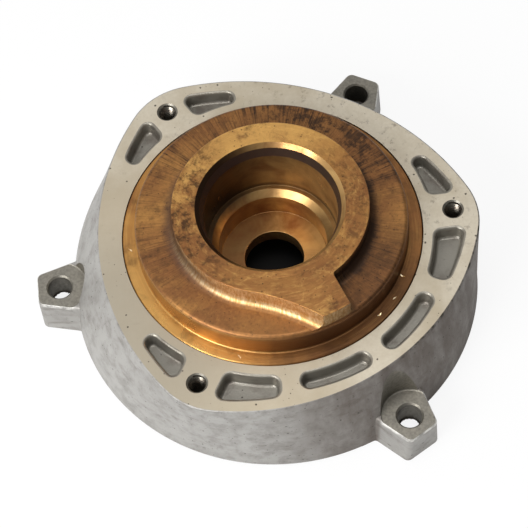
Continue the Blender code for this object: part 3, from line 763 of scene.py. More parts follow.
    def hub(self):
        """The hub and tongue, which rise from inside the disc through a fillet to the land."""
        i, steps = self.i, 2 * self.d.arc_facets
        floor = FACE_Z + i.disc_rise
        rings = [(floor - i.disc_edge, self.hub_outline(i.hub_fillet))]
        rings += [(floor - CLOSE + up, self.hub_outline(out)) for out, up in foot(i.hub_fillet, steps)]
        rings += [(LAND_Z + up, self.hub_outline(-back)) for back, up in edge(i.hub_edge, steps // 4)]
        return loft("hub", rings)

    def stepped_bore(self):
        """Cutter for the shaft hole, the seal bore, the upper bore above its shelf, and the mouth."""
        i = self.i
        shelf = LAND_Z - i.shelf_depth
        profile = [
            (i.shaft_radius, -OVERSHOOT),
            (i.shaft_radius, i.bore_floor),
            (i.seal_radius, i.bore_floor),
            (i.seal_radius, shelf - i.neck_drop),
            (i.neck_radius, shelf),
            (i.upper_radius, shelf),
            (i.upper_radius, LAND_Z - i.lead_depth),
            (i.mouth_radius - i.mouth_chamfer, LAND_Z - i.mouth_chamfer),
            (i.mouth_radius + OVERSHOOT, LAND_Z + OVERSHOOT),
        ]
        corners = {k: i.edge_round for k in range(1, len(profile) - 1)}
        return turned_solid("stepped_bore", rounded(profile, corners, BORE_EDGE_STEPS), self.d.round_facets)

    def insert(self):
        """The bronze insert as one solid."""
        insert = self.insert_disc()
        combine(insert, [self.hub()], "UNION")
        combine(insert, [self.stepped_bore()], "DIFFERENCE")
        return insert


# Materials

def operator(operation, swapped=False):
    """A method that makes a Math node of a number and another value."""
    def method(self, other):
        return self.math(operation, *((other, self) if swapped else (self, other)))

    return method


class Number:
    """A number socket that Python's operators turn into Math nodes."""

    __add__, __radd__ = operator("ADD"), operator("ADD", True)
    __sub__, __rsub__ = operator("SUBTRACT"), operator("SUBTRACT", True)
    __mul__, __rmul__ = operator("MULTIPLY"), operator("MULTIPLY", True)
    __truediv__ = operator("DIVIDE")

    def __init__(self, recipe, socket):
        self.recipe = recipe
        self.socket = socket

    def math(self, operation, *values):
        """The output of a Math node."""
        node = self.recipe.node("ShaderNodeMath", dict(enumerate(values)), operation=operation)
        return Number(self.recipe, node.outputs[0])

    def step(self, low, high):
        """0 below low, 1 above high and smooth between; low may be the larger one."""
        sockets = {"Value": self, "From Min": low, "From Max": high, "To Min": 0.0, "To Max": 1.0}
        node = self.recipe.node("ShaderNodeMapRange", sockets, interpolation_type="SMOOTHSTEP")
        return Number(self.recipe, node.outputs[0])

    def clamp(self):
        """The same number, held between 0 and 1."""
        return self.math("MINIMUM", self.math("MAXIMUM", self, 0.0), 1.0)


class Graph:
    """A node tree that is written with one node method."""

    def __init__(self, tree):
        self.tree = tree
        self.tree.nodes.clear()

    def node(self, kind, sockets=None, **settings):
        """A node of a type: its settings are set first, and then its sockets' values or links."""
        node = self.tree.nodes.new(kind)
        for key, value in settings.items():
            setattr(node, key, value)
        for key, value in (sockets or {}).items():
            self.feed(node.inputs[key], value)
        return node

    def feed(self, socket, value):
        """Links a socket to a node's output, or sets its plain value."""
        value = value.socket if isinstance(value, Number) else value
        if isinstance(value, bpy.types.NodeSocket):
            self.tree.links.new(value, socket)
        else:
            socket.default_value = value

    def vector_math(self, operation, *values):
        """The output of a Vector Math node: its value for a dot product, or else its vector."""
        node = self.node("ShaderNodeVectorMath", dict(enumerate(values)), operation=operation)
        return Number(self, node.outputs["Value"]) if operation == "DOT_PRODUCT" else node.outputs["Vector"]


class Recipe(Graph):
    """One material, its coordinates about the pump's axis and the patterns that its metals share."""

    def __init__(self, name):
        self.material = bpy.data.materials.new(name)
        self.material.use_nodes = True
        super().__init__(self.material.node_tree)
        self.shader = self.node("ShaderNodeBsdfPrincipled")
        self.output = self.node("ShaderNodeOutputMaterial", {"Surface": self.shader.outputs["BSDF"]})
        self.output.is_active_output = True
        coords = self.node("ShaderNodeTexCoord").outputs
        self.place = self.vector_math("SUBTRACT", coords["Object"], (AXIS_X, 0.0, 0.0))
        self.surface = coords["Normal"]
        parts = self.node("ShaderNodeSeparateXYZ", {0: self.place})
        self.x, self.y, self.z = (Number(self, parts.outputs[k]) for k in range(3))
        self.radius = self.x.math("SQRT", self.x * self.x + self.y * self.y)
        self.turn = self.x.math("ARCTAN2", self.y, self.x)

    def vector(self, x, y, z):
        """A vector of three numbers."""
        return self.node("ShaderNodeCombineXYZ", {0: x, 1: y, 2: z}).outputs[0]

    def round_track(self, around, outwards, upwards=0.0):
        """Noise coordinates that follow the turning: cycles per radian around, and per metre out and up."""
        across = self.radius * outwards + self.z * upwards
        return self.vector(self.x / self.radius * around, self.y / self.radius * around, across)

    def facing(self, degrees, low=0.2, high=0.95):
        """1 on the side of the axis that lies at an angle, fading to 0: low and high are its cosines."""
        x, y = on_circle(1.0, math.radians(degrees))
        return ((self.x * x + self.y * y) / self.radius).step(low, high)

    def noise(self, scale, detail=3.0, roughness=0.55, place=None, distortion=0.0):
        """Noise from 0 to 1 with a scale in cycles per metre."""
        node = self.node("ShaderNodeTexNoise", {
            "Vector": place or self.place, "Scale": scale, "Detail": detail, "Roughness": roughness,
            "Distortion": distortion,
        })
        return Number(self, node.outputs[0])

    def specks(self, spacing, size, share, upright=False):
        """Round specks on flat faces or upright walls: their spacing, their radius and the share kept."""
        place = self.vector(self.turn * RIM_RADIUS, self.z, 0.0) if upright else self.place
        sockets = {"Vector": place, "Scale": 1 / spacing, "Randomness": 1.0}
        node = self.node("ShaderNodeTexVoronoi", sockets, voronoi_dimensions="2D")
        chance = self.node("ShaderNodeSeparateXYZ", {0: node.outputs["Color"]})
        picked = Number(self, chance.outputs[0]).step(1 - share - 0.001, 1 - share)
        grown = Number(self, chance.outputs[1]) * 0.7 + 0.3
        distance = Number(self, node.outputs["Distance"]) * spacing / grown
        ragged = self.noise(1.2 / size, 2) * 1.1 - 0.55
        return (distance + ragged * size).step(size, 0.55 * size) * picked

    def spot(self, x, y, radius, softness=0.5):
        """A round spot about a plan point, in metres from the pump's axis."""
        dx, dy = self.x - x, self.y - y
        distance = self.x.math("SQRT", dx * dx + dy * dy)
        return distance.step(radius * (1 + softness), radius * (1 - softness))

    def mix(self, factor, first, second):
        """A colour between two colours."""
        def full(value):
            return value if isinstance(value, bpy.types.NodeSocket) else (*value, 1.0)

        sockets = {0: factor, 6: full(first), 7: full(second)}
        return self.node("ShaderNodeMix", sockets, data_type="RGBA").outputs[2]

    def coat(self, mask, tint, ground=None):
        """Lays a colour over the metal, or over a given ground, where a mask is 1."""
        self.base = self.mix(mask, self.base if ground is None else ground, tint)

    def bump(self, height, distance, normal=None):
        """A normal bent by a height from 0 to 1 that stands for a real distance in metres."""
        sockets = {"Height": height, "Distance": distance, "Strength": 1.0}
        if normal:
            sockets["Normal"] = normal
        return self.node("ShaderNodeBump", sockets).outputs[0]

    def turned_normal(self, lean, spacing=0.12 * MM):
        """A normal that fine turned grooves lean across their run, as on lathe-cut metal."""
        tangent = self.vector_math("NORMALIZE", self.vector(-1 * self.y, self.x, 0.0))
        across = self.vector_math("CROSS_PRODUCT", tangent, self.surface)
        track = self.vector(self.radius / spacing, self.z / spacing, self.turn * 2)
        groove = (self.noise(1.0, 1.0, 0.5, place=track) - 0.5) * (2 * lean)
        leaned = self.vector_math("SCALE", across)
        self.feed(leaned.node.inputs["Scale"], groove)
        return self.vector_math("NORMALIZE", self.vector_math("ADD", self.surface, leaned))

    def finish(self, metallic, roughness, normal=None):
        """Feeds the shader with the coats and the gloss, and returns the material."""
        values = {"Base Color": self.base, "Metallic": metallic, "Roughness": roughness}
        if normal:
            values["Normal"] = normal
        for key, value in values.items():
            self.feed(self.shader.inputs[key], value)
        return self.material


def machined_aluminium(colours):
    """Milled flange face: pale, warm and fine-grained, with pores, faint stains and painted shade towards
    the lower left.
    """
    r = Recipe("machined_aluminium")
    cloud = r.noise(30, 5, 0.6)
    grain = r.noise(900, 3, 0.6)
    lines = r.noise(60, 3, place=r.vector(r.x * 18, r.y * 2.5, r.z), distortion=0.4)
    pits = r.specks(7 * MM, 0.6 * MM, 0.3)
    fine = r.specks(2.2 * MM, 0.28 * MM, 0.2)
    marks = (pits + fine * r.noise(45, 2).step(0.45, 0.6)).clamp()
    r.coat(cloud.step(0.35, 0.7), colours.machined_stain_and_shade, colours.machined)
    r.coat((grain - 0.3).clamp() * 0.9, colours.machined_stain_and_shade)
    # Painted shade: the face is darkened towards the lower left, in the stain colour and the spot-face
    # colour.
    r.coat(r.facing(-145.0, 0.0, 0.95) * 0.8, colours.machined_stain_and_shade)
    r.coat(r.facing(-148.0, 0.65, 1.0) * 0.4, colours.seat)
    grime = r.noise(110, 5, 0.7).step(0.6, 0.78) * 0.35
    grime = grime + r.noise(260, 6, 0.75).step(0.56, 0.66) * r.facing(40.1) * 0.5
    r.coat(grime.clamp(), colours.cast_dirt_and_shade)
    r.coat(marks * 0.85, colours.pit)
    rough = 0.4 + cloud * 0.12 + lines * 0.08
    normal = r.bump(grain * 0.5 + lines * 0.5 - marks * 2, 0.03 * MM)
    return r.finish(0.72, rough, normal)


def screw_seat(colours):
    """Spot faces and drilled walls: darker, brownish grey, with turned marks."""
    r = Recipe("screw_seat")
    cloud = r.noise(160, 4)
    grain = r.noise(900, 3)
    r.coat(cloud.step(0.3, 0.75), colours.pocket, colours.seat)
    r.coat((grain - 0.35).clamp(), colours.pit)
    normal = r.bump(grain, 0.05 * MM)
    return r.finish(0.75, 0.34 + grain * 0.2, normal)


def cast_aluminium(colours, sizes):
    """Cast skin: softly mottled grey, darker on its right side from dirt streaks and painted shade, with a
    painted highlight along the lug tops' edges and a fine pebbled surface.
    """
    r = Recipe("cast_aluminium")
    cloud = r.noise(30, 3, 0.5)
    blotch = r.noise(170, 4, 0.6)
    grain = r.noise(1000, 3)
    runs = r.noise(1.0, 5, 0.65, place=r.round_track(9.0, 0.0, 45.0))
    on_lug = r.radius.step(sizes.rim_radius, sizes.rim_radius + 2 * MM)
    # Dirt streaks and painted shade: the right side, which faces away from the light, is darkened.
    dirt_and_shade_side = r.facing(-38.0, 0.4, 0.9) * (1 - on_lug)
    nicks = r.z.step(FACE_Z - 2.0 * MM, FACE_Z - 0.5 * MM) * r.noise(420, 5, 0.7).step(0.5, 0.6)
    nicks = nicks * (r.facing(0.0, 0.3, 0.9) * 0.8 + 0.1)
    dirt = dirt_and_shade_side * (runs.step(0.3, 0.7) * 0.5 + 0.6)
    dirt = (r.noise(80, 6, 0.65).step(0.6, 0.8) * 0.3 + dirt).clamp()
    pits = r.specks(4.5 * MM, 0.45 * MM, 0.4, upright=True)
    smears = r.noise(1.0, 5, 0.7, place=r.round_track(7.0, 60.0, 260.0))
    # Worn edge and painted highlight: a bright, ragged band along the lugs' rounded top edges.
    rubbed_and_highlight = r.z.step(sizes.lug_top - 1.9 * sizes.lug_edge, sizes.lug_top - 1.1 * sizes.lug_edge)
    rubbed_and_highlight = rubbed_and_highlight * on_lug * r.noise(300, 3).step(0.35, 0.6)
    r.coat(cloud.step(0.35, 0.7) * 0.4, colours.cast_dark, colours.cast)
    r.coat(blotch.step(0.4, 0.7) * 0.75, colours.cast_dark)
    r.coat(smears.step(0.5, 0.72) * cloud.step(0.3, 0.6) * 0.5, colours.cast_dirt_and_shade)
    # Dirt and painted shade on the right side.
    r.coat(dirt * 0.8, colours.cast_dirt_and_shade)
    r.coat(r.noise(420, 5, 0.75).step(0.58, 0.68) * 0.35, colours.pit)
    # Worn edge and painted highlight on the lugs.
    r.coat(rubbed_and_highlight * 0.85, colours.worn_and_highlight)
    r.coat(nicks, colours.pit)
    r.coat(pits * 0.7, colours.pit)
    rough = 0.44 + grain * 0.16 + dirt * 0.16
    normal = r.bump(grain * 0.5 + blotch * 0.5 - pits * 0.7, 0.1 * MM)
    return r.finish(0.6, rough, normal)


def pocket_skin(colours, sizes):
    """Cast walls and floors of the recesses: greyer and glossier than the outer skin, and darker further
    down as painted shade.
    """
    r = Recipe("pocket_skin")
    cloud = r.noise(150, 4)
    grain = r.noise(1300, 3)
    floor = FACE_Z - sizes.pocket_depth
    pits = r.specks(5 * MM, 0.5 * MM, 0.3) * r.z.step(floor + 0.3 * MM, floor + 0.1 * MM)
    # Painted shade: the lighter spot-face colour near the mouth, the darker recess colour further down.
    deep_shade = r.z.step(FACE_Z - 0.2 * MM, FACE_Z - 2.5 * MM)
    r.coat(deep_shade, colours.pocket, colours.seat)
    r.coat(cloud.step(0.45, 0.75) * 0.6, colours.cast_dirt_and_shade)
    r.coat(pits * 0.85, colours.pit)
    normal = r.bump(grain * 0.4 + cloud * 0.6 - pits, 0.16 * MM)
    return r.finish(0.65, 0.3 + grain * 0.14, normal)


def striations(r):
    """Dark radial tool marks, dense at the back of the channel floor and sparse at its front left."""
    fine = r.noise(1.0, 3, 0.75, place=r.round_track(85.0, 60.0))
    coarse = r.noise(1.0, 2, 0.5, place=r.round_track(20.0, 30.0))
    patch = r.noise(40, 3, 0.6)
    back = r.facing(82.0, 0.2, 0.75)
    side = r.facing(10.0, 0.1, 0.8) * 0.35 + r.facing(165.0, 0.2, 0.9) * 0.45
    zone = (back + side + 0.08).clamp()
    lines = fine.step(0.44, 0.66) * 0.75 + coarse.step(0.5, 0.7) * 0.4
    return (lines * zone * (patch.step(0.3, 0.65) * 0.7 + 0.5)).clamp()


def bronze_land(colours):
    """Turned hub land and tongue top: blotchy gold-brown, with a painted reflection that makes the back
    lighter and painted shade on the sides and front.
    """
    r = Recipe("bronze_land")
    cloud = r.noise(42, 5, 0.6, distortion=0.5)
    fine_cloud = r.noise(170, 5, 0.65)
    swirl = r.noise(1.0, 4, 0.6, place=r.round_track(9.0, 900.0))
    grain = r.noise(800, 4)
    # Painted reflection and shade: the back is lighter, the left, right and front sides darker, with more
    # brown and dark blotches where it is shaded.
    back = r.facing(100.0, 0.3, 1.0)
    shaded_side = r.facing(178.0, 0.3, 0.95) + r.facing(-10.0, 0.2, 1.0) * 0.6
    front = r.facing(-90.0, 0.3, 0.9)
    r.coat(cloud.step(0.35, 0.65), colours.bronze_brown, colours.bronze)
    # Painted shade at the front, painted reflection at the back, and painted shade with brown blotches at
    # the sides.
    r.coat(front * 0.65, colours.bronze_brown)
    r.coat(back * 0.6, colours.bronze_pale)
    r.coat(shaded_side * fine_cloud.step(0.25, 0.6) * 0.8, colours.bronze_brown)
    r.coat(swirl.step(0.45, 0.8) * 0.35, colours.bronze_pale)
    r.coat(r.noise(75, 5, 0.7, distortion=0.8).step(0.5, 0.68) * 0.5, colours.bronze_pale)
    r.coat(r.noise(62, 6, 0.75, distortion=0.8).step(0.55, 0.7) * 0.55, colours.bronze_brown)
    r.coat(fine_cloud.step(0.55, 0.75) * 0.6, colours.bronze_brown)
    r.coat(r.noise(90, 6, 0.7).step(0.56, 0.7) * 0.6, colours.bronze_dark)
    # Dark blotches, more of them in the painted shade at the sides.
    r.coat(shaded_side * r.noise(240, 6, 0.75).step(0.47, 0.62) * 0.8, colours.bronze_dark)
    r.coat(r.noise(450, 6, 0.8).step(0.54, 0.68) * 0.35, colours.bronze_dark)
    r.coat(r.specks(3.5 * MM, 0.45 * MM, 0.4) * 0.7, colours.bronze_dark)
    normal = r.bump(grain * 0.5 + fine_cloud * 0.5, 0.05 * MM, normal=r.turned_normal(0.16))
    return r.finish(0.8, 0.3 + cloud * 0.16, normal)


def bronze_channel(colours, sizes):
    """Channel floor, its fillets and the hub's sides: brown bronze with dark radial tool marks, painted
    shade at the front, the right and beside the hub, and a painted highlight on the foot fillet at the front
    left.
    """
    r = Recipe("bronze_channel")
    cloud = r.noise(44, 5, 0.6, distortion=0.6)
    fine_cloud = r.noise(190, 5, 0.65)
    grain = r.noise(700, 4)
    marks = striations(r)
    specks = r.specks(2.6 * MM, 0.38 * MM, 0.4)
    # Tarnish at the back, and painted shade at the front and the right.
    tarnish_and_shade = r.facing(75.0, 0.1, 0.9) * 0.7 + r.facing(-78.0, 0.3, 0.95) * 0.75
    tarnish_and_shade = tarnish_and_shade + r.facing(-5.0, 0.4, 0.95) * 0.45
    # Dark mottling at the back and left, and painted shade near the notch at the front right.
    dark_marks_and_shade = r.facing(50.0, 0.6, 1.0) * r.noise(120, 6, 0.75).step(0.45, 0.6)
    dark_marks_and_shade = dark_marks_and_shade + r.facing(170.0, 0.6, 1.0) * r.noise(150, 6, 0.75).step(0.5, 0.65) * 0.45
    dark_marks_and_shade = dark_marks_and_shade + r.facing(-42.0, 0.8, 1.0) * (r.noise(130, 6, 0.75).step(0.35, 0.6) * 0.5 + 0.25)
    floor = FACE_Z + sizes.disc_rise
    near_hub = r.radius.step(sizes.hub_radius + 6 * MM, sizes.hub_radius + MM)
    near_hub = near_hub * r.z.step(LAND_Z - MM, LAND_Z - 5 * MM)
    foot = near_hub * r.facing(175.0, 0.3, 0.9)
    # Painted shadow on the floor beside the hub's right side.
    shaded = near_hub * r.facing(-12.0, 0.3, 0.85)
    # Painted highlight along the foot fillet at the front left.
    rubbed_and_highlight = r.z.step(floor + 0.1 * MM, floor + 1.2 * MM) * r.facing(-115.0, 0.3, 0.85)
    r.coat(cloud.step(0.3, 0.7), colours.bronze_brown, colours.bronze)
    # Tarnish, with painted shade at the front and the right.
    r.coat(tarnish_and_shade.clamp(), colours.bronze_brown)
    r.coat(fine_cloud.step(0.5, 0.8) * 0.5, colours.bronze_dark)
    r.coat((grain - 0.4).clamp() * 0.8, colours.bronze_dark)
    r.coat(r.noise(480, 6, 0.8).step(0.54, 0.66) * 0.4, colours.bronze_dark)
    r.coat(r.noise(330, 6, 0.8).step(0.52, 0.7) * 0.35, colours.bronze)
    brushed = r.noise(1.0, 4, 0.65, place=r.round_track(60.0, 30.0, 400.0)).step(0.35, 0.7)
    # The painted highlight on the foot fillet, with pale brush lines.
    r.coat(rubbed_and_highlight * 0.45, colours.bronze_pale)
    r.coat(rubbed_and_highlight * brushed * 0.5, colours.chip)
    # Tool marks, specks and dark mottling, with the painted shade and painted shadow in the same coat.
    r.coat((marks * 0.9 + specks * 0.6 + dark_marks_and_shade * 0.75 + shaded * 0.7).clamp(), colours.bronze_dark)
    r.coat(foot * 0.6, colours.grime)
    normal = r.bump(grain * 0.4 - marks * 0.6, 0.06 * MM)
    return r.finish(0.75, 0.38 + cloud * 0.12, normal)


def bronze_ledge(colours):
    """Ledge and side of the raised disc: cleanly turned bronze with brown stains, painted shade on the right
    and front, and a painted highlight at the front left.
    """
    r = Recipe("bronze_ledge")
    cloud = r.noise(48, 4, 0.6, distortion=0.5)
    rings = r.noise(1.0, 3, 0.6, place=r.round_track(3.0, 1500.0, 1500.0))
    grain = r.noise(700, 4)
    stain = r.noise(110, 5, 0.6).step(0.5, 0.7)
    # Painted shade on the right side and a painted highlight at the front left.
    shaded_side = r.facing(-15.0, -0.1, 0.85)
    golden_highlight = r.facing(-138.0, 0.6, 1.0)
    r.coat(cloud.step(0.3, 0.7), colours.bronze_brown, colours.bronze)
    # Painted highlight at the front left, then painted shade on the right.
    r.coat(golden_highlight * 0.6, colours.bronze_pale)
    r.coat(shaded_side * 0.8, colours.bronze_brown)
    r.coat(shaded_side * r.noise(70, 5, 0.65).step(0.35, 0.7) * 0.5, colours.bronze_dark)
    r.coat(rings.step(0.45, 0.8) * (1 - shaded_side * 0.4) * 0.4, colours.bronze_pale)
    r.coat(stain * 0.45, colours.bronze_dark)
    wall = r.z.step(FACE_Z + 0.5 * MM, FACE_Z + 2.0 * MM)
    r.coat(wall * 0.55, colours.bronze_brown)
    # Painted shade at the front and the front right.
    r.coat(r.facing(-85.0, 0.8, 1.0) * 0.4, colours.bronze_brown)
    r.coat(r.facing(-56.0, 0.7, 0.98) * 0.5, colours.bronze_dark)
    normal = r.bump(grain, 0.02 * MM, normal=r.turned_normal(0.14))
    return r.finish(0.8, 0.3 + cloud * 0.12 - golden_highlight * 0.08, normal)


def bronze_bore(colours, sizes):
    """Walls and floor of the stepped bore: smooth, brown and glossy, with a painted dark reflection on the
    lead-in above the wall, painted shade at the wall's foot and painted shade on the left side.
    """
    r = Recipe("bronze_bore")
    cloud = r.noise(60, 4, 0.6, distortion=0.5)
    scratches = r.noise(1.0, 3, 0.6, place=r.round_track(60.0, 20.0, 60.0)).step(0.6, 0.75)
    # Painted dark reflection: a grey-violet band on the lead-in cone.
    lead_top = LAND_Z - sizes.mouth_chamfer
    lead = r.z.step(LAND_Z - sizes.lead_depth - 0.4 * MM, LAND_Z - sizes.lead_depth + 0.3 * MM)
    lead = lead * r.z.step(lead_top + 0.1 * MM, lead_top - 0.2 * MM)
    shelf = LAND_Z - sizes.shelf_depth
    # Painted shade in the crease at the foot of the upper wall, just above the shelf.
    foot = r.z.step(shelf + 3.2 * MM, shelf + 1.2 * MM) * r.z.step(shelf - 0.2 * MM, shelf + 0.1 * MM)
    r.coat(cloud.step(0.3, 0.75), colours.bronze_brown, colours.bore_bronze)
    r.coat(scratches * 0.3, colours.bronze)
    # Painted shade on the left wall, strongest near and below the shelf.
    shaded_left_wall = r.facing(170.0, 0.0, 0.8) * (r.z.step(shelf - 4 * MM, shelf + 2 * MM) * 0.85 + 0.15)
    r.coat(shaded_left_wall, colours.bronze_dark)
    shaded_low_left = r.facing(160.0, 0.0, 0.8) * r.z.step(shelf - MM, shelf - 3 * MM)
    r.coat(shaded_low_left * 0.6, colours.bronze_brown)
    r.coat((foot * 0.7).clamp(), colours.bronze_dark)
    r.coat(lead * 0.9, colours.grime)
    normal = r.bump(scratches, 0.01 * MM, normal=r.turned_normal(0.1))
    return r.finish(0.8, 0.24 + cloud * 0.1 + lead * 0.15, normal)


def screw_thread(colours):
    """Freshly cut thread flanks: bright, with grey cutting dirt."""
    r = Recipe("screw_thread")
    cloud = r.noise(400, 3)
    r.coat(cloud.step(0.35, 0.7), colours.cast_dirt_and_shade, colours.seat)
    return r.finish(0.95, 0.2 + cloud * 0.1)


def casting_flash(colours):
    """Thin, dark and rough fins of cast metal."""
    r = Recipe("casting_flash")
    grain = r.noise(900, 3)
    r.coat(grain.step(0.3, 0.7), colours.cast_dirt_and_shade, colours.pit)
    return r.finish(0.4, 0.6 + grain * 0.2, r.bump(grain, 0.05 * MM))


def bright_chip(colours):
    """Freshly cut chips of bronze."""
    r = Recipe("bright_chip")
    cloud = r.noise(700, 2)
    r.coat(cloud.step(0.4, 0.7), colours.bronze_pale, colours.chip)
    return r.finish(0.5, 0.3 + cloud * 0.1)


class Extent:
    """How far a face reaches about the pump's axis: its radii, heights and middle."""

    def __init__(self, mesh, face):
        points = [mesh.vertices[i].co for i in face.vertices]
        radii = [math.hypot(p.x - AXIS_X, p.y) for p in points]
        self.near, self.far = min(radii), max(radii)
        self.low, self.high = min(p.z for p in points), max(p.z for p in points)
        self.x, self.y = face.center.x - AXIS_X, face.center.y

    def reach(self, turn, pitch):
        """Distance of the face's middle from a hole on a pitch circle."""
        px, py = on_circle(pitch, turn)
        return math.hypot(self.x - px, self.y - py)


def paint_regions(solid, materials, region):
    """Gives each face the material that region(extent) names."""
    solid.data.materials.clear()
    names = list(materials)
    for name in names:
        solid.data.materials.append(materials[name])
    for face in solid.data.polygons:
        face.material_index = names.index(region(Extent(solid.data, face)))


SHARP_ANGLE = math.radians(32)
FLAT_WEIGHT = 90


def smooth(solid):
    """Shades a solid smooth between its sharp edges, with its flat faces kept flat."""
    solid.data.shade_smooth()
    solid.data.set_sharp_from_angle(angle=SHARP_ANGLE)
    weighted = solid.modifiers.new("flats", "WEIGHTED_NORMAL")
    weighted.mode = "FACE_AREA"
    weighted.weight = FLAT_WEIGHT
    weighted.keep_sharp = True
    apply_modifier(solid, weighted)


# Repeated details

class RingPattern(Graph):
    """Geometry nodes that set copies of a piece round the pump's axis."""

    SOCKETS = {
        "Object": ("Piece",), "Material": ("Material",), "Int": ("Count", "Seed"),
        "Float": ("Radius", "Turn", "Spread", "Tumble", "Share"),
    }

    def __init__(self):
        super().__init__(bpy.data.node_groups.new("ring_pattern", "GeometryNodeTree"))
        sockets = self.tree.interface
        self.identifiers = {}
        for kind, names in self.SOCKETS.items():
            for name in names:
                socket = sockets.new_socket(name=name, in_out="INPUT", socket_type="NodeSocket" + kind)
                self.identifiers[name] = socket.identifier
        sockets.new_socket(name="Geometry", in_out="OUTPUT", socket_type="NodeSocketGeometry")
        given = self.node("NodeGroupInput").outputs
        ring = self.node("GeometryNodeMeshCircle", {"Vertices": given["Count"], "Radius": given["Radius"]})
        turn = self.node("ShaderNodeCombineXYZ", {"Z": given["Turn"]})
        placed = self.node("GeometryNodeTransform", {
            "Geometry": ring.outputs[0], "Translation": (AXIS_X, 0.0, 0.0), "Rotation": turn.outputs[0],
        })
        apart = self.random_vector((1.0, 1.0, 0.0), given["Seed"])
        scattered = self.node("GeometryNodeSetPosition", {
            "Geometry": placed.outputs[0], "Offset": self.scaled(apart, given["Spread"]),
        })
        tumbled = self.random_vector((0.0, 0.0, 1.0), given["Seed"])
        chance = {"Probability": given["Share"], "Seed": given["Seed"]}
        kept = self.node("FunctionNodeRandomValue", chance, data_type="BOOLEAN")
        piece = self.node("GeometryNodeObjectInfo", {"Object": given["Piece"]})
        copies = self.node("GeometryNodeInstanceOnPoints", {
            "Points": scattered.outputs[0], "Instance": piece.outputs["Geometry"],
            "Selection": kept.outputs[3], "Rotation": self.scaled(tumbled, given["Tumble"]),
        })
        whole = self.node("GeometryNodeRealizeInstances", {"Geometry": copies.outputs[0]})
        painted = self.node("GeometryNodeSetMaterial", {
            "Geometry": whole.outputs[0], "Material": given["Material"],
        })
        self.node("NodeGroupOutput", {"Geometry": painted.outputs[0]})

    def random_vector(self, reach, seed):
        """A random vector between a reach and its opposite."""
        sockets = {0: tuple(-v for v in reach), 1: reach, "Seed": seed}
        return self.node("FunctionNodeRandomValue", sockets, data_type="FLOAT_VECTOR").outputs[0]

    def scaled(self, vector, factor):
        """A vector times a number."""
        return self.node("ShaderNodeVectorMath", {0: vector, "Scale": factor}, operation="SCALE").outputs[0]

    def apply(self, name, piece, **inputs):
        """A plain mesh object of the copies, from inputs that the pattern's own values fill up."""
        host = add_object(name, bpy.data.meshes.new(name))
        modifier = host.modifiers.new("pattern", "NODES")
        modifier.node_group = self.tree
        own = {"Piece": piece, "Turn": 0.0, "Spread": 0.0, "Tumble": 0.0, "Share": 1.0}
        for key, value in {**own, **inputs}.items():
            modifier[self.identifiers[key]] = value
        apply_modifier(host, modifier)
        bpy.data.objects.remove(piece)
        return host


def thread_ridge(c, facets=32, fades_in_turn=3):
    """The ridge of one tapped hole's thread, which fades out at both ends."""
    bottom, top = FACE_Z - c.tapped_depth + c.thread_pitch, FACE_Z - 0.7 * c.thread_pitch
    count = round((top - bottom) / c.thread_pitch * facets)
    sections = []
    for k in range(count + 1):
        fade = min(1.0, k / facets * fades_in_turn, (count - k) / facets * fades_in_turn)
        turn, height = math.tau * k / facets, bottom + c.thread_pitch * k / facets
        wall, crest = c.tapped_radius + SUNK, c.tapped_radius - c.thread_height * fade
        root, tip = 0.44 * c.thread_pitch, 0.08 * c.thread_pitch
        section = [(wall, -root), (crest, -tip), (crest, tip), (wall, root)]
        sections.append([(*on_circle(r, turn), height + rise) for r, rise in section])
    return skinned("thread_ridge", sections)


def flash_ring(c, seed, facets=64):
    """The ragged fin of metal that a lug hole's casting left above its widened bottom."""
    chance = random.Random(seed)
    ragged = [chance.uniform(0.0, 1.0) for _ in range(facets)]
    sections = []
    for k in range(facets):
        turn = math.tau * k / facets
        reach = min(0.25 + 0.5 * (ragged[k] + ragged[k - 1]) * ragged[k - 3], 0.8) * MM
        wall, tip = c.lug_hole + SUNK, c.lug_hole - reach
        low, high = c.lug_back_depth - 0.1 * MM, c.lug_back_depth + 0.25 * MM
        section = [(wall, low), (tip, low + 0.1 * MM), (tip, high - 0.15 * MM), (wall, high)]
        sections.append([(*on_circle(r, turn), z) for r, z in section])
    return skinned("flash_ring", sections, closed=True)


def swarf_chip(steps=6):
    """One small curled chip of bronze that lies on the ledge."""
    long, wide, thick, curl = 1.1 * MM, 0.26 * MM, 0.06 * MM, 0.7 * MM
    sections = []
    for k in range(steps + 1):
        t = 2 * k / steps - 1
        x, bend, lift = long * t, 0.3 * long * t * t, FACE_Z + curl * t * t * 0.5
        half = wide * (1.1 - t * t)
        sections.append([(x, bend - half, lift), (x, bend + half, lift + thick),
                         (x, bend + half, lift + 2 * thick), (x, bend - half, lift + thick)])
    return skinned("swarf_chip", sections)


# Operators

NEAR = 0.1 * MM
CHIP_SPREAD = 1.2 * MM
CHIP_SHARE = 0.3
WHITE = (1.0, 1.0, 1.0, 1.0)
BRIGHT_SIDE = Vector((-0.55, 0.5, 0.65))
BRIGHT_FROM, BRIGHT_FULL = -0.6, 0.9
COVERED_FLOOR, OPEN_FLOOR = 0.86, 0.96
LUG_SHADE = 9 * MM
FLOOR_ROUGHNESS = 0.9
NEARLY_UPRIGHT = math.radians(89)
SENSOR_WIDTH = 36.0
CLIP_START = 0.01


def settings():
    """The cover's settings in the scene."""
    return bpy.context.scene.pump_cover


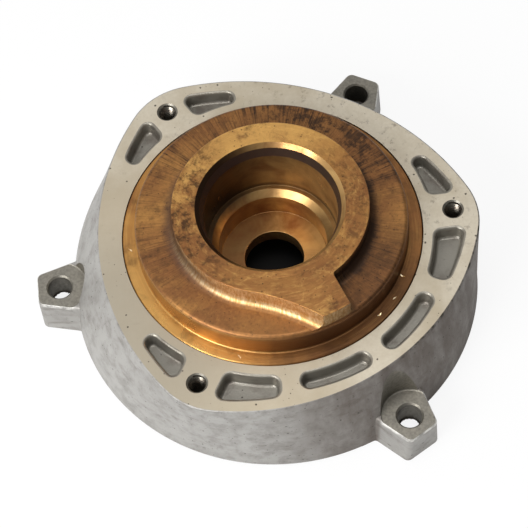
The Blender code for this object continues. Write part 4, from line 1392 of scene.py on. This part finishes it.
class PUMPCOVER_OT_casting(bpy.types.Operator):
    """Build the aluminium casting and give each of its surfaces its finish"""

    bl_idname = "pumpcover.casting"
    bl_label = "Casting"

    def execute(self, context):
        own = settings()
        form = CoverForm(own)
        casting = form.casting()
        c = own.casting
        seat = c.lug_top - c.spot_face_depth

        def region(face):
            if face.low > FACE_Z - CLOSE:
                return "face"
            if face.far < c.register_radius + NEAR and face.low > FACE_Z - c.register_depth - NEAR:
                return "face"
            for turn in LUG_ANGLES:
                off = face.reach(turn, c.lug_pitch)
                if off < c.spot_face and face.low > seat - 0.02 * MM and face.near > c.register_radius:
                    return "seat"
                if off < c.lug_hole + 0.5 * c.lug_chamfer:
                    return "seat"
            for turn in CORNER_ANGLES:
                above_tip = face.low > FACE_Z - c.tapped_depth - c.tapped_radius
                if above_tip and face.reach(turn, c.tapped_pitch) < c.tapped_mouth:
                    return "seat"
            inside = face.far < form.face_radius(math.atan2(face.y, face.x)) - 0.5 * c.pocket_outer_wall
            if face.low > FACE_Z - c.pocket_depth - NEAR and inside:
                return "pocket"
            return "face" if face.high < CLOSE else "skin"

        paint_regions(casting, {
            "face": machined_aluminium(own.finish),
            "skin": cast_aluminium(own.finish, c),
            "pocket": pocket_skin(own.finish, c),
            "seat": screw_seat(own.finish),
        }, region)
        smooth(casting)
        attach(casting, "root")
        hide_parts("housing_casting")
        return {"FINISHED"}


class PUMPCOVER_OT_insert(bpy.types.Operator):
    """Build the bronze insert and give each of its surfaces its finish"""

    bl_idname = "pumpcover.insert"
    bl_label = "Bronze Insert"

    def execute(self, context):
        own = settings()
        insert = CoverForm(own).insert()
        i = own.insert
        floor = FACE_Z + i.disc_rise

        def region(face):
            if face.low > LAND_Z - 1.1 * i.hub_edge and face.near > i.mouth_radius - CLOSE:
                return "land"
            if face.far < i.shaft_radius + 0.5 * MM:
                return "bore"
            if face.far < i.mouth_radius + CLOSE and face.low > i.bore_floor - 0.5 * MM:
                return "bore"
            return "channel" if face.low > floor - 0.5 * i.disc_edge else "ledge"

        paint_regions(insert, {
            "land": bronze_land(own.finish),
            "channel": bronze_channel(own.finish, i),
            "ledge": bronze_ledge(own.finish),
            "bore": bronze_bore(own.finish, i),
        }, region)
        smooth(insert)
        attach(insert, "root")
        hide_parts("channel_insert")
        return {"FINISHED"}


class PUMPCOVER_OT_details(bpy.types.Operator):
    """Add the tapped holes' threads, the flash in the lug holes and the chips on the ledge"""

    bl_idname = "pumpcover.details"
    bl_label = "Threads, Flash and Chips"

    def execute(self, context):
        own = settings()
        c, i, seed = own.casting, own.insert, own.detail.seed
        pattern = RingPattern()
        threads = pattern.apply(
            "tapped_threads", thread_ridge(c), Material=screw_thread(own.finish), Count=CORNER_COUNT,
            Radius=c.tapped_pitch, Turn=CORNER_ANGLES[0], Seed=seed,
        )
        flash = pattern.apply(
            "lug_hole_flash", flash_ring(c, seed), Material=casting_flash(own.finish), Count=CORNER_COUNT,
            Radius=c.lug_pitch, Turn=LUG_ANGLES[0], Tumble=math.pi, Seed=seed,
        )
        chips = pattern.apply(
            "ledge_chips", swarf_chip(), Material=bright_chip(own.finish), Count=own.detail.chip_count,
            Radius=(i.disc_radius + i.ledge_radius) / 2, Spread=CHIP_SPREAD, Tumble=math.pi,
            Share=CHIP_SHARE, Seed=seed,
        )
        for piece, slot in ((threads, "cast_aluminium"), (flash, "cast_aluminium"), (chips, "bronze")):
            smooth(piece)
            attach(piece, "root")
        return {"FINISHED"}


class PUMPCOVER_OT_stage(bpy.types.Operator):
    """Set up the floor, the lamps, the room's light and the camera"""

    bl_idname = "pumpcover.stage"
    bl_label = "Stage"

    def execute(self, context):
        own = settings()
        s = own.stage
        self.floor(own)
        target = Vector((AXIS_X, 0.0, FACE_Z))
        self.lamp("key", target, s.key_azimuth, s.key_elevation, s.key_distance, s.key_size, s.key_power)
        self.lamp("top", target, s.key_azimuth, NEARLY_UPRIGHT, s.top_height, s.top_size, s.top_power)
        self.world(s)
        self.camera(s, target)
        bpy.context.scene.view_settings.view_transform = "Standard"
        return {"FINISHED"}

    def floor(self, own):
        half = own.stage.floor_size / 2
        data = bpy.data.meshes.new("floor")
        corners = [(-half, -half, 0.0), (half, -half, 0.0), (half, half, 0.0), (-half, half, 0.0)]
        data.from_pydata(corners, [], [(0, 1, 2, 3)])
        floor = add_object("floor", data)
        r = Recipe("floor")
        paths = r.node("ShaderNodeLightPath").outputs
        glossy = Number(r, paths["Is Glossy Ray"]) + Number(r, paths["Is Transmission Ray"])
        seen = (Number(r, paths["Is Camera Ray"]) + glossy * own.stage.floor_in_metal).clamp()
        rim = own.casting.rim_radius
        hole_x, hole_y = on_circle(own.casting.lug_pitch, LUG_ANGLES[0])
        in_hole = r.spot(hole_x, hole_y, LUG_SHADE, 0.2)
        open_floor = r.radius.step(COVERED_FLOOR * rim, OPEN_FLOOR * rim) * (1 - in_hole)
        r.feed(r.shader.inputs["Base Color"], r.mix(open_floor, own.finish.shade, own.finish.floor))
        r.shader.inputs["Roughness"].default_value = FLOOR_ROUGHNESS
        white = r.node("ShaderNodeEmission", {"Color": WHITE, "Strength": 1.0})
        blend = r.node("ShaderNodeMixShader", {
            0: seen * open_floor * own.stage.floor_white, 1: r.shader.outputs["BSDF"], 2: white.outputs[0],
        })
        r.feed(r.output.inputs["Surface"], blend.outputs[0])
        data.materials.append(r.material)

    def lamp(self, name, target, azimuth, elevation, distance, size, power):
        data = bpy.data.lights.new(name, "AREA")
        data.shape = "SQUARE"
        data.size = size
        data.energy = power
        lamp = add_object(name, data)
        lamp.location = target + direction(azimuth, elevation) * distance
        lamp.rotation_euler = (target - lamp.location).to_track_quat("-Z", "Y").to_euler()

    def world(self, s):
        world = bpy.data.worlds.new("room")
        world.use_nodes = True
        room = Graph(world.node_tree)
        facing = room.node("ShaderNodeTexCoord").outputs["Generated"]
        towards_window = room.vector_math("DOT_PRODUCT", facing, BRIGHT_SIDE.normalized())
        share = towards_window.step(BRIGHT_FROM, BRIGHT_FULL)
        strength = share * (s.room_bright - s.room_dim) + s.room_dim
        background = room.node("ShaderNodeBackground", {"Color": WHITE, "Strength": strength})
        room.node("ShaderNodeOutputWorld", {"Surface": background.outputs[0]})
        bpy.context.scene.world = world

    def camera(self, s, target):
        data = bpy.data.cameras.new("camera")
        data.lens = s.camera_lens
        data.sensor_width = SENSOR_WIDTH
        data.sensor_fit = "HORIZONTAL"
        data.clip_start = CLIP_START
        camera = add_object("camera", data)
        camera.matrix_world = (
            Matrix.Translation(target + direction(s.camera_azimuth, s.camera_elevation) * s.camera_distance)
            @ Matrix.Rotation(s.camera_azimuth + math.pi / 2, 4, "Z")
            @ Matrix.Rotation(math.pi / 2 - s.camera_elevation, 4, "X")
            @ Matrix.Rotation(s.camera_roll, 4, "Z")
            @ Matrix.Rotation(s.camera_tilt, 4, "X")
            @ Matrix.Rotation(s.camera_pan, 4, "Y")
        )
        bpy.context.scene.camera = camera


class PUMPCOVER_PT_panel(bpy.types.Panel):
    """Sidebar panel that lists the cover's pieces"""

    bl_idname = "PUMPCOVER_PT_panel"
    bl_label = "Pump Housing Cover"
    bl_space_type = "VIEW_3D"
    bl_region_type = "UI"
    bl_category = "Pump Cover"

    def draw(self, context):
        for step in OPERATORS:
            self.layout.operator(step.bl_idname)


OPERATORS = (PUMPCOVER_OT_casting, PUMPCOVER_OT_insert, PUMPCOVER_OT_details, PUMPCOVER_OT_stage)
CLASSES = (
    CastingSizes, InsertSizes, FinishColours, StageSettings, DetailSettings, PumpCoverSettings,
    *OPERATORS, PUMPCOVER_PT_panel,
)


def register():
    for cls in CLASSES:
        bpy.utils.register_class(cls)
    bpy.types.Scene.pump_cover = PointerProperty(type=PumpCoverSettings)


def unregister():
    del bpy.types.Scene.pump_cover
    for cls in reversed(CLASSES):
        bpy.utils.unregister_class(cls)


def main():
    register()
    bpy.ops.pumpcover.casting()
    bpy.ops.pumpcover.insert()
    bpy.ops.pumpcover.details()
    bpy.ops.pumpcover.stage()


if __name__ == "__main__":
    main()
